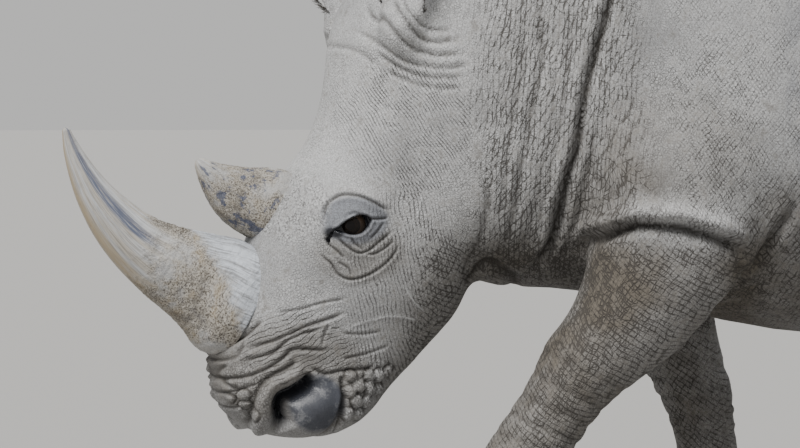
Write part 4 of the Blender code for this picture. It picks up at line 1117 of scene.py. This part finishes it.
def hide_material():
    """Lines and cells of several sizes, each in its own zone, over dust, grey and brown, with
    painted shade and a painted highlight.
    """
    t = Tree("hide", roughness=0.85, specular=0.38)
    place = t.read("place", "Vector")
    bent = t.bent(place, 16.0, 0.020)
    zones = ("neck", "arm", "behind", "cheek", "brow", "flank", "lip", "muzzle", "smooth")
    neck, arm, behind, cheek, brow, flank, lip, muzzle, smooth = (t.read(name) for name in zones)
    bulb, tear, around_eye, wet_and_recess_shade = (t.read(n) for n in ("bulb", "tear", "around_eye", "wet_and_recess_shade"))
    crease_shade, low, dust_and_highlight_zones, scar, scurf, smudge = (
        t.read(n) for n in ("crease_shade", "low", "dust_and_highlight_zones", "scar", "scurf", "smudge"))
    patch = t.noise(place, 5.0, 4.0, 0.62)
    spots = t.noise(place, 42.0, 4.0, 0.70)
    grain = t.noise(place, 380.0, 2.0, 0.70)

    crackle = t.cells(bent, (0.0048, 0.0048, 0.0060), 0.22)
    plates = t.cells(bent, (0.0150, 0.0125, 0.0140), 0.11)
    steep = t.lines(bent, (0.45, 1.0, -0.10), 0.0098, 0.42)
    steep_back = t.lines(bent, (-0.45, 1.0, -0.46), 0.0112, 0.38)
    net = t.lines(bent, (0.50, 1.0, -0.75), 0.0100, 0.30)
    net_back = t.lines(bent, (0.35, 0.62, 1.0), 0.0092, 0.34)
    oblique = t.lines(bent, (0.20, 0.85, -0.62), 0.0085, 0.40)
    hanging = t.lines(bent, (0.45, 1.0, 0.16), 0.0064, 0.55)
    falling = t.lines(bent, (0.30, 0.80, 0.60), 0.0058, 0.55)
    creases = t.lines(t.bent(place, 22.0, 0.026), (0.20, 0.42, -1.0), 0.0088, 0.34)
    patchy = t.step(patch, 0.36, 0.64, 0.35, 1.0)
    wrinkled = t.math("MULTIPLY", flank, patchy)
    broken = t.step(spots, 0.36, 0.60, 0.25, 1.15)
    cracks = t.total(
        (crackle, patchy, 0.42), (plates, arm, 0.34), (plates, behind, 0.50), (plates, neck, 0.42),
        (steep, neck, 0.66), (steep_back, neck, 0.56), (net, arm, 0.55), (net_back, arm, 0.75),
        (oblique, behind, 0.40), (hanging, cheek, 0.50), (falling, brow, 0.55),
        (oblique, wrinkled, 0.38), (falling, wrinkled, 0.34), (crackle, lip, 0.30),
        (creases, muzzle, 0.75))
    cracks = t.math("MULTIPLY", cracks, broken)
    cracks = t.math("MULTIPLY", cracks, t.math("SUBTRACT", 1.0, smooth), clamp=True)

    # pale dust, and a painted highlight along the shoulder flap's roll
    dust_and_highlight = t.math("MULTIPLY_ADD", dust_and_highlight_zones, 0.58, t.step(patch, 0.34, 0.66, 0.0, 0.75), clamp=True)
    colour = t.mix(dust_and_highlight, HIDE_GREY, HIDE_PALE)
    colour = t.mix(t.step(spots, 0.52, 0.70, 0.0, 0.45), colour, HIDE_PALE)
    colour = t.mix(t.step(spots, 0.48, 0.30, 0.0, 0.50), colour, HIDE_BROWN)
    hung = t.node("VectorMath", {0: place, 1: (1.0, 1.0, 0.30)}, operation="MULTIPLY").outputs[0]
    trails = t.step(t.noise(hung, 26.0, 4.0, 0.65), 0.38, 0.62, 0.0, 0.46)
    smudges = t.math("MULTIPLY", smudge, trails)
    colour = t.mix(smudges, colour, LID_GREY)
    # brown earth, with painted shade on down-facing skin and under the eye, and less brown on the
    # far legs as painted fill light
    earth_and_shade = t.total((neck, 1.0, 0.16), (arm, 1.0, 0.56), (behind, 1.0, 0.34), (low, 1.0, 0.82))
    earth_and_shade = t.math("MULTIPLY", earth_and_shade, t.step(patch, 0.28, 0.62, 1.15, 0.65), clamp=True)
    colour = t.mix(earth_and_shade, colour, HIDE_BROWN)
    colour = t.mix(t.math("MULTIPLY", around_eye, 0.66), colour, LID_GREY)
    colour = t.mix(t.math("MULTIPLY", cracks, 0.88), colour, HIDE_DARK)
    # painted shade in the folds and recesses
    colour = t.mix(t.math("MULTIPLY", crease_shade, 0.95, clamp=True), colour, HIDE_DARK)
    colour = t.mix(t.step(grain, 0.40, 0.56, 0.36, 0.0), colour, HIDE_DARK)
    colour = t.mix(t.math("MULTIPLY", scar, 2.4, clamp=True), colour, HIDE_PALE)
    flecks = t.mix(t.step(t.noise(place, 240.0, 3.0, 0.7), 0.40, 0.58), HIDE_DARK, HIDE_PALE)
    colour = t.mix(t.math("MULTIPLY", scurf, t.step(spots, 0.35, 0.60, 0.10, 0.60)), colour, flecks)
    # the tear's wet skin, and painted shade in the nostril's cavity and the eye's hollow; the
    # wetness also lowers the roughness
    wet_and_shaded = t.math("MAXIMUM", tear, wet_and_recess_shade, clamp=True)
    slaty = t.math("MULTIPLY", bulb, t.step(patch, 0.30, 0.70, 0.80, 0.95))
    colour = t.mix(slaty, colour, HIDE_SLATE)
    colour = t.mix(wet_and_shaded, colour, HIDE_WET_AND_SHADE)
    crumbs = t.math("MULTIPLY", bulb, t.step(spots, 0.52, 0.66, 0.0, 0.35))
    colour = t.mix(crumbs, colour, HIDE_GREY)
    relief = t.total((cracks, 1.0, -1.0), (grain, 1.0, 0.30), (spots, 1.0, 0.55))
    rough = t.math("SUBTRACT", 0.85, t.total((wet_and_shaded, 1.0, 0.66), (bulb, 1.0, 0.30)))
    return t.finish(colour, relief, 0.0022, rough)


skin.data.materials.append(hide_material())

# ------------------------------------------------------------------ the horns
# Packed keratin fibres grown from the skin of the nose: the front horn is worn smooth above,
# granular below and pale and fibrous at its foot, and the rear one is granular all over.
# Each is one section carried along a curve to a round tip.
HORN_FRONT = (                   # along, out, radius along, radius across, power
    (0.595, 0.085, 0.1060, 0.094, 2.5),
    (0.593, 0.118, 0.1060, 0.095, 2.5),
    (0.580, 0.155, 0.0960, 0.082, 2.3),
    (0.574, 0.193, 0.0840, 0.072, 2.1),
    (0.567, 0.247, 0.0710, 0.062, 2.0),
    (0.547, 0.320, 0.0540, 0.050, 2.0),
    (0.521, 0.370, 0.0440, 0.041, 2.0),
    (0.493, 0.411, 0.0340, 0.033, 2.0),
    (0.459, 0.449, 0.0235, 0.023, 2.0),
    (0.427, 0.478, 0.0145, 0.014, 2.0),
    (0.397, 0.500, 0.0060, 0.006, 2.0),
)
HORN_REAR = (
    (0.408, 0.060, 0.0680, 0.062, 2.4),
    (0.409, 0.100, 0.0680, 0.062, 2.4),
    (0.411, 0.127, 0.0640, 0.054, 2.2),
    (0.409, 0.160, 0.0550, 0.045, 2.1),
    (0.400, 0.195, 0.0400, 0.035, 2.0),
    (0.388, 0.226, 0.0225, 0.021, 2.0),
    (0.374, 0.252, 0.0075, 0.007, 2.0),
)
FIBRE_RADIUS = 0.06              # the radius at which fibres keep their real spacing
LEAN_ROWS, TIP_ROWS = 11, 10
GRAIN_RISE, FIBRE_RISE = 0.0009, 0.0004
FLAKE_RISE, FLAKE_STEPS, FLAKE_GRAIN = 0.0042, 2.5, 0.0008
HORN_BEIGE = (0.420, 0.390, 0.340)
HORN_TAN = (0.360, 0.280, 0.165)
HORN_INK = (0.034, 0.052, 0.115)
HORN_BARK = (0.055, 0.044, 0.032)
HORN_ASH = (0.460, 0.470, 0.485)
HORN_FROST = (0.550, 0.590, 0.650)


def horn_surface(name, table, count, size, worn, chipped):
    """Sections p(s) + r (f cos l, f sin l, q) with f, q on the squared circle.

    The lean l is square to the curve, the last share of s closes as sqrt(1 - t^2), and
    noise lifts the surface: grains where s < worn, chips on the hollow edge in chipped.
    """
    rows = through(table, count)
    steps = np.linalg.norm(np.diff(rows[:, :2], axis=0), axis=1)
    reach = np.concatenate([[0.0], np.cumsum(steps)])
    cap = rows[-1, 2]
    end = reach[-1] - cap + cap * np.sin(np.linspace(0.0, 0.5 * math.pi, TIP_ROWS))
    stations = np.concatenate([np.linspace(0.0, reach[-1] - cap, count)[:-1], end])
    into_cap = np.clip((stations - reach[-1] + cap) / cap, 0.0, 1.0)
    closing = np.sqrt(np.clip(1.0 - into_cap**2, 1e-4, 1.0))
    rows = np.stack([np.interp(stations, reach, column) for column in rows.T], axis=1)
    few = through(table, LEAN_ROWS)
    few = np.concatenate([few[:1], few, few[-1:]])
    lean = np.arctan2(few[:-2, 0] - few[2:, 0], few[2:, 1] - few[:-2, 1])
    lean = np.interp(stations, np.linspace(0.0, reach[-1], LEAN_ROWS), lean)[:, None]
    across, front = squared_circle(rows[:, 4], size)
    s = (stations / reach[-1])[:, None] + 0.0 * front
    turn = np.linspace(0.0, 2.0 * math.pi, size, endpoint=False)[None, :] + 0.0 * front
    straight = np.stack([FIBRE_RADIUS * np.cos(turn), FIBRE_RADIUS * np.sin(turn),
                         stations[:, None] + 0.0 * front], axis=-1).reshape(-1, 3)
    grain = (noise(straight, 0.0045, 31) + 0.6 * noise(straight, 0.0020, 32)).reshape(s.shape)
    flakes = noise(straight * (1.0, 1.0, 0.45), 0.0110, 33).reshape(s.shape)
    fibres = noise(straight * (1.0, 1.0, 0.08), 0.0022, 34).reshape(s.shape)
    granular = ease(worn - s, -0.05, 0.10)
    hollow = ease(-front, 0.55, 0.90) * ease(s, chipped[0], chipped[0] + 0.06)
    hollow = hollow * ease(chipped[1] - s, 0.0, 0.08)
    swell = GRAIN_RISE * granular * grain + FIBRE_RISE * fibres * ease(s, 0.02, 0.10)
    chipping = FLAKE_RISE * np.floor(FLAKE_STEPS * flakes) / FLAKE_STEPS
    swell += hollow * (chipping + FLAKE_GRAIN * grain)
    deep, wide = (rows[:, i, None] * closing[:, None] + swell for i in (2, 3))
    along = rows[:, 0:1] + deep * front * np.cos(lean)
    out = rows[:, 1:2] + deep * front * np.sin(lean)
    grid = from_head(along, out, wide * across)
    made = sheet_mesh(name, *joined([turned(grid.reshape(-1, 3)).reshape(grid.shape)]))
    ends = np.array([[0.0, 0.0, 0.0], [0.0, 0.0, reach[-1]]])
    numbers(made, "straight", np.concatenate([straight, ends]))
    numbers(made, "up", np.concatenate([s.ravel(), [0.0, 1.0]]))
    numbers(made, "front", np.concatenate([front.ravel(), [0.0, 0.0]]))
    numbers(made, "chips", np.concatenate([hollow.ravel(), [0.0, 0.0]]))
    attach(made, "root")
    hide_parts(name)
    return made


def horn_material(name, worn, streak, tan, ink, collared):
    """Bark-coloured grains below, beige above, a dark streak, a tan edge, a pale collar."""
    t = Tree(name, roughness=0.55, specular=0.40)
    straight = t.read("straight", "Vector")
    up, front, chips = (t.read(n) for n in ("up", "front", "chips"))
    drawn = t.node("VectorMath", {0: straight, 1: (1.0, 1.0, 0.05)}, operation="MULTIPLY")
    fibre_at = drawn.outputs[0]
    fibres = t.noise(fibre_at, 420.0, 3.0, 0.65)
    broad = t.noise(fibre_at, 70.0, 3.0, 0.60)
    speckle = t.noise(straight, 400.0, 3.0, 0.75)
    clouds = t.noise(straight, 34.0, 4.0, 0.65)
    drift = t.noise(straight, 15.0, 4.0, 0.65)
    granular = t.step(t.math("MULTIPLY_ADD", clouds, 0.36, up), worn + 0.10, worn + 0.24, 1.0, 0.0)
    colour = t.mix(t.step(broad, 0.35, 0.65), HORN_ASH, HORN_BEIGE)
    colour = t.mix(t.step(fibres, 0.42, 0.66, 0.0, 0.42), colour, HORN_BARK)
    edge = t.math("MULTIPLY", t.step(t.math("MULTIPLY_ADD", broad, 0.5, front), 0.98, 1.25), tan)
    colour = t.mix(edge, colour, HORN_TAN)
    off = t.math("ABSOLUTE", t.math("ADD", t.math("MULTIPLY_ADD", broad, 0.60, front), -0.06))
    wide = t.step(up, 0.42, 0.60, 0.14, 0.30)
    dark = t.math("MULTIPLY", t.step(t.math("SUBTRACT", off, wide), -0.18, 0.08, 1.0, 0.0),
                  t.step(up, worn - 0.04, worn + 0.08))
    dark = t.math("MULTIPLY", dark, t.step(fibres, 0.30, 0.55, 0.35, 1.0))
    colour = t.mix(t.math("MULTIPLY", dark, streak, clamp=True), colour, HORN_INK)
    bark = t.mix(t.step(speckle, 0.38, 0.57), HORN_BARK, HORN_BEIGE)
    bark = t.mix(t.step(clouds, 0.50, 0.66, 0.0, 0.50 * tan), bark, HORN_TAN)
    bark = t.mix(t.step(drift, 0.48, 0.62, 0.0, 0.60), bark, HORN_ASH)
    bark = t.mix(t.step(drift, 0.47, 0.36, 0.0, 0.55), bark, HORN_BARK)
    colour = t.mix(t.math("MULTIPLY", granular, 0.92), colour, bark)
    blots = t.math("MULTIPLY", t.step(clouds, 0.45, 0.37), ink)
    colour = t.mix(blots, colour, HORN_INK)
    rising = t.math("MULTIPLY_ADD", clouds, 0.18, t.math("MULTIPLY_ADD", front, 0.22, up))
    hollow_side = t.step(front, 0.70, 0.25, 0.0, collared)
    collar = t.math("MULTIPLY", t.step(rising, 0.24, 0.15), hollow_side)
    pale = t.mix(t.step(fibres, 0.42, 0.66, 0.0, 0.62), HORN_FROST, HORN_BARK)
    colour = t.mix(collar, colour, pale)
    flaky = t.mix(t.step(speckle, 0.42, 0.60), HORN_BARK, HORN_BEIGE)
    colour = t.mix(chips, colour, flaky)
    relief = t.total((fibres, 1.0, 0.45), (speckle, t.math("MAXIMUM", granular, chips), 1.4),
                     (clouds, granular, 2.0))
    rough = t.step(t.math("MAXIMUM", granular, collar), 0.0, 1.0, 0.45, 0.85)
    return t.finish(colour, relief, 0.0013, rough)


horn = horn_surface("horn_front", HORN_FRONT, 240, 132, 0.42, (0.30, 0.56))
horn.data.materials.append(horn_material("horn_front", 0.42, 0.80, 0.75, 0.10, 0.90))
horn = horn_surface("horn_rear", HORN_REAR, 110, 108, 0.95, (0.0, 0.10))
horn.data.materials.append(horn_material("horn_rear", 0.90, 0.20, 0.30, 0.70, 0.0))

# ------------------------------------------------------------------ the eyes
# Glass globes set under the lids, dark brown with a wide black pupil and a bulging clear
# front. Each is one profile turned round the axis that looks out and a little ahead.
EYE_LOOK = (0.90, -0.42, -0.10)
IRIS_TURN, PUPIL_TURN = math.radians(38.0), math.radians(17.0)
CORNEA_RISE = 0.0012
EYE_ROWS, EYE_ROUND, POLE_GAP = 72, 96, 0.02
EYE_WHITE = (0.040, 0.028, 0.020)
EYE_BROWN = (0.013, 0.008, 0.005)
EYE_RING = (0.004, 0.003, 0.003)


def eye_globe(name, side):
    """Radius r + c e^-(p / iris)^4 at polar turn p from the look, for every turn round it."""
    look = np.array(EYE_LOOK) * (side, 1.0, 1.0)
    look /= np.linalg.norm(look)
    level = np.cross(look, (0.0, 0.0, 1.0))
    level /= np.linalg.norm(level)
    polar = np.linspace(POLE_GAP, math.pi - POLE_GAP, EYE_ROWS)[:, None]
    around = np.linspace(0.0, 2.0 * math.pi, EYE_ROUND, endpoint=False)[None, :]
    radius = EYE_RADIUS + CORNEA_RISE * np.exp(-(polar / IRIS_TURN) ** 4)
    ahead = (radius * np.cos(polar) + 0.0 * around)[..., None] * look
    wide = (radius * np.sin(polar) * np.cos(around))[..., None] * level
    high = (radius * np.sin(polar) * np.sin(around))[..., None] * np.cross(level, look)
    grid = EYE * (side, 1.0, 1.0) + ahead + wide + high
    made = sheet_mesh(name, *joined([turned(grid.reshape(-1, 3)).reshape(grid.shape)]))
    numbers(made, "polar", np.concatenate([(polar + 0.0 * around).ravel(), [0.0, math.pi]]))
    rays = np.stack(np.broadcast_arrays(np.cos(around), np.sin(around), 0.6 * polar), axis=-1)
    numbers(made, "rays", np.concatenate([rays.reshape(-1, 3), np.zeros((2, 3))]))
    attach(made, "root")
    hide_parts(name)
    return made


def eye_material():
    """Rings by the polar turn: pupil, brown iris with rays, dark rim, brownish white."""
    t = Tree("eye", roughness=0.05, specular=0.2)
    polar = t.read("polar")
    rays = t.noise(t.read("rays", "Vector"), 9.0, 3.0, 0.6)
    iris = t.mix(t.step(rays, 0.35, 0.70), EYE_RING, EYE_BROWN)
    colour = t.mix(t.step(polar, PUPIL_TURN, PUPIL_TURN + 0.05), EYE_RING, iris)
    colour = t.mix(t.step(polar, IRIS_TURN - 0.12, IRIS_TURN), colour, EYE_RING)
    colour = t.mix(t.step(polar, IRIS_TURN, IRIS_TURN + 0.12), colour, EYE_WHITE)
    return t.finish(colour)


glass = eye_material()
for name, side in (("eye_left", 1), ("eye_right", -1)):
    eye_globe(name, side).data.materials.append(glass)

# ------------------------------------------------------------------ the toenails
# Three broad horny plates on the rim of each foot, domed, ridged level with the floor and
# worn pale along the lower edge. Each is one rounded section that narrows as it rises.
NAILS = ((-0.95, 0.034), (0.0, 0.046), (0.95, 0.034))      # turn from ahead, half width
NAIL_RISE = ((0.0, 1.0, 1.0), (0.45, 0.96, 0.9), (1.0, 0.62, 0.45))
NAIL_HEIGHT, NAIL_THICKNESS = 0.066, 0.011
NAIL_SUNK, NAIL_CURVE, NAIL_POWER = 0.003, 0.009, 2.6
NAIL_TOP = 0.9                   # the rows crowd together above this share of the height
RIDGE_RISE, RIDGE_GAP = 0.0005, 0.0012
NAIL_HORN = (0.150, 0.135, 0.118)
NAIL_WORN = (0.330, 0.300, 0.255)


def nail_surface(name, table, side, step, turn, half_width):
    """Sections rim(z) + w a beside + (t b - c (w a)^2) ahead, with a, b on a squared circle."""
    facing = np.array([math.sin(turn), -math.cos(turn), 0.0])
    beside_it = np.array([math.cos(turn), math.sin(turn), 0.0])
    crowd = NAIL_TOP + (1.0 - NAIL_TOP) * np.sin(np.linspace(0.1, 0.5 * math.pi, 10))
    share = np.concatenate([np.linspace(0.0, NAIL_TOP, 30), crowd])
    narrow, thin = (np.interp(share, [r[0] for r in NAIL_RISE], [r[i] for r in NAIL_RISE])
                    for i in (1, 2))
    narrow = narrow - 0.30 * ease(share, 0.75, 1.0)
    thin = thin - 0.30 * ease(share, 0.80, 1.0)
    z = NAIL_HEIGHT * share
    rows = np.array(table)[::-1]
    y, length, x, width = (np.interp(z, rows[:, 0], rows[:, i]) for i in (1, 2, 3, 4))
    back = step * (1.0 - ease(z, 0.0, HIND_STEP_TOP))
    reach = (np.abs(facing[0] / width) ** LEG_POWER
             + np.abs(facing[1] / length) ** LEG_POWER) ** (-1.0 / LEG_POWER)
    rim = np.stack([side * x, y + back, z], axis=1) + facing * (reach - NAIL_SUNK)[:, None]
    a, b = squared_circle(np.full(len(z), NAIL_POWER), 72)
    ridge = RIDGE_RISE * np.sin(z / RIDGE_GAP)[:, None] * ease(b, 0.3, 0.9)
    wide = half_width * narrow[:, None] * a
    deep = NAIL_THICKNESS * thin[:, None] * b - NAIL_CURVE * (narrow[:, None] * a) ** 2 + ridge
    grid = rim[:, None] + wide[..., None] * beside_it + deep[..., None] * facing
    made = sheet_mesh(name, *joined([grid]))
    made.data.materials.append(nail)
    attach(made, "root")
    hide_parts(name)


def nail_material():
    """Dark horn with level bands, paler near the floor."""
    t = Tree("nail", roughness=0.5, specular=0.45)
    place = t.node("TexCoord", {}).outputs["Object"]
    height = t.node("SeparateXYZ", {0: place}).outputs["Z"]
    level = t.node("VectorMath", {0: place, 1: (0.12, 0.12, 1.0)}, operation="MULTIPLY")
    bands = t.noise(level.outputs[0], 380.0, 3.0, 0.6)
    spots = t.noise(place, 160.0, 4.0, 0.7)
    worn = t.step(t.math("MULTIPLY_ADD", spots, 0.020, height), 0.038, 0.008)
    colour = t.mix(worn, NAIL_HORN, NAIL_WORN)
    colour = t.mix(t.step(bands, 0.42, 0.66, 0.0, 0.35), colour, HIDE_DARK)
    return t.finish(colour, t.total((bands, 1.0, 0.6), (spots, 1.0, 0.5)), 0.0008)


nail = nail_material()
for ending, table, side, step in FEET:
    for k, (turn, half_width) in enumerate(NAILS):
        nail_surface(f"nail_{ending}_{k + 1}", table, side, step, turn, half_width)

# ------------------------------------------------------------------ the hair
# Stiff dark bristles: a fringe along the rims of the ears, short lashes on the upper lids
# and the tail's tassel. Each bristle is a three-sided spike that tapers along a curve.
PATCH = 0.003                    # size of a bristle's patch on the unwrap of its ground
BRISTLE_STEPS, BRISTLE_TIP = 6, 0.04
FRINGE_COUNT, FRINGE_RADIUS, FRINGE_ROWS = 330, 0.00045, (18, 59)
LASH_COUNT, LASH_RADIUS, LASH_RISE = 64, 0.00030, 0.0012
TASSEL_COUNT, TASSEL_RADIUS = 1500, 0.0008
HAIR_BLACK = (0.020, 0.016, 0.013)
HAIR_TAN = (0.120, 0.090, 0.060)


def bristles(name, roots, ways, bends, lengths, radius, place, hair):
    """Points root + l (t way + t^2 bend) + r (1 - t^2) corner, for t in 0..1."""
    count, steps = len(roots), BRISTLE_STEPS
    t = np.linspace(0.0, 1.0, steps)[None, :, None]
    lengths = lengths[:, None, None]
    spine = roots[:, None] + lengths * (t * ways[:, None] + t * t * bends[:, None])
    level = np.cross(ways, (0.31, 0.22, 0.92))
    level /= np.linalg.norm(level, axis=1, keepdims=True)
    turns = np.arange(3) * 2.0 * math.pi / 3.0
    corners = (np.cos(turns)[:, None] * level[:, None] + np.sin(turns)[:, None]
               * np.cross(ways, level)[:, None])
    thick = radius * np.maximum(1.0 - t**2, BRISTLE_TIP)[..., None]
    grid = spine[:, :, None] + thick * corners[:, None]
    first = (np.arange(count) * steps * 3)[:, None, None]
    ring, k = np.arange(steps - 1)[None, :, None] * 3, np.arange(3)[None, None, :]
    a, b = first + ring + k, first + ring + (k + 1) % 3
    walls = np.stack([a, b, b + 3, a, b + 3, a + 3], axis=-1).reshape(-1, 3)
    start = first.reshape(-1, 1)
    caps = np.concatenate([start + [0, 2, 1], start + steps * 3 + [-3, -2, -1]])
    faces = np.concatenate([walls, caps])
    made = sheet_mesh(name, turned(grid.reshape(-1, 3)), faces)
    spread = np.stack(np.broadcast_arrays(np.arange(3)[None, None, :] / 3.0, t), axis=-1)
    spots = (place[:, None, None] + PATCH * spread).reshape(-1, 2)
    made.data.uv_layers.new(name="OFBake").data.foreach_set(
        "uv", spots[faces.ravel()].astype(np.float32).ravel())
    numbers(made, "tip", np.broadcast_to(t[..., None], grid.shape[:3] + (1,)).ravel())
    made.data.materials.append(hair)
    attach(made, "root")
    return made


def hair_material():
    """Nearly black, tanned towards the worn tips, with a soft gloss."""
    t = Tree("hair", roughness=0.45, specular=0.5)
    return t.finish(t.mix(t.step(t.read("tip"), 0.45, 1.0, 0.0, 0.7), HAIR_BLACK, HAIR_TAN))


def unit(vectors):
    """Each row divided by its length."""
    return vectors / np.linalg.norm(vectors, axis=-1, keepdims=True)


hair = hair_material()
chance = np.random.default_rng(5)
roots, ways, bends, lengths, places = [], [], [], [], []
for side in (1, -1):
    rings = ear_rings(side)
    axis = unit(np.array(EAR_AXES[side]))
    opening = unit(np.array(EAR_OPENINGS[side]))
    for edge, shift in ((0, 0.0), (24, 0.5)):
        row = chance.integers(*FRINGE_ROWS, FRINGE_COUNT)
        at = rings[row, edge] + chance.normal(0.0, 0.0012, (FRINGE_COUNT, 3))
        outward = unit(at - rings[row].mean(axis=1))
        stray = chance.normal(0.0, 0.22, (FRINGE_COUNT, 3))
        roots.append(at)
        ways.append(unit(0.8 * outward + 0.5 * axis + 0.35 * opening + stray))
        bends.append(0.35 * axis + chance.normal(0.0, 0.12, (FRINGE_COUNT, 3)))
        longer = 0.6 + 0.6 * row / FRINGE_ROWS[1]
        lengths.append(chance.uniform(0.007, 0.020, FRINGE_COUNT) * longer)
        places.append(np.stack([0.1 + 0.4 * shift + 0.25 * (side < 0) + 0.0 * row,
                                row / 62.0], axis=1))
bristles("ear_fringe", *(np.concatenate(n) for n in (roots, ways, bends, lengths)),
         FRINGE_RADIUS, np.concatenate(places), hair)

roots, ways, bends, lengths, places = [], [], [], [], []
lid_line = curve_through(UPPER_LID)
for side in (1, -1):
    share = chance.uniform(0.30, 0.97, LASH_COUNT)
    along, rows = share * (len(lid_line) - 1), np.arange(len(lid_line))
    flat_at = np.stack([np.interp(along, rows, lid_line[:, i]) for i in (0, 1)], axis=1)
    flat_at += (0.0, LASH_RISE)
    d = np.hypot(flat_at[:, 0] - EYE[1], flat_at[:, 1] - EYE[2])
    out = EYE[0] + np.sqrt(np.clip(EYE_RADIUS**2 - d * d, 0.0, None)) + 0.8 * LID_THICKNESS
    roots.append(np.stack([side * out, flat_at[:, 0], flat_at[:, 1]], axis=1))
    fan = (share - 0.5) * 0.9
    ways.append(unit(np.stack([0.85 * side + 0.0 * fan, fan, -0.30 + 0.0 * fan], axis=1)
                     + chance.normal(0.0, 0.10, (LASH_COUNT, 3))))
    bends.append(np.stack([0.0 * fan, 0.2 * fan, 0.28 + 0.0 * fan], axis=1))
    lengths.append(chance.uniform(0.007, 0.013, LASH_COUNT))
    places.append(np.stack([0.3 + 0.3 * (side < 0) + 0.2 * share, 0.5 + 0.0 * share], axis=1))
bristles("lashes", *(np.concatenate(n) for n in (roots, ways, bends, lengths)),
         LASH_RADIUS, np.concatenate(places), hair)

above, end = (np.array([0.0, *place]) for place in TAIL_CURVE[2:])
down = unit(end - above)
around = chance.uniform(0.0, 2.0 * math.pi, TASSEL_COUNT)
drop = chance.uniform(-0.055, 0.004, TASSEL_COUNT)
out = np.stack([np.cos(around), np.sin(around), np.zeros(TASSEL_COUNT)], axis=1)
roots = end + down * drop[:, None] + out * (0.0135, 0.0120, 0.0)
lengths = chance.uniform(0.090, 0.180, TASSEL_COUNT)
ways = unit(down + out * (0.22, 0.12, 0.0) + chance.normal(0.0, 0.05, (TASSEL_COUNT, 3)))
bends = -out * (0.10, 0.06, 0.0) + chance.normal(0.0, 0.03, (TASSEL_COUNT, 3))
tassel = bristles("tail_tassel_hair", roots, ways, bends, lengths, TASSEL_RADIUS,
                  np.stack([around / 7.0, 0.5 + 4.0 * drop], axis=1), hair)
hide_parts("tail_tassel")
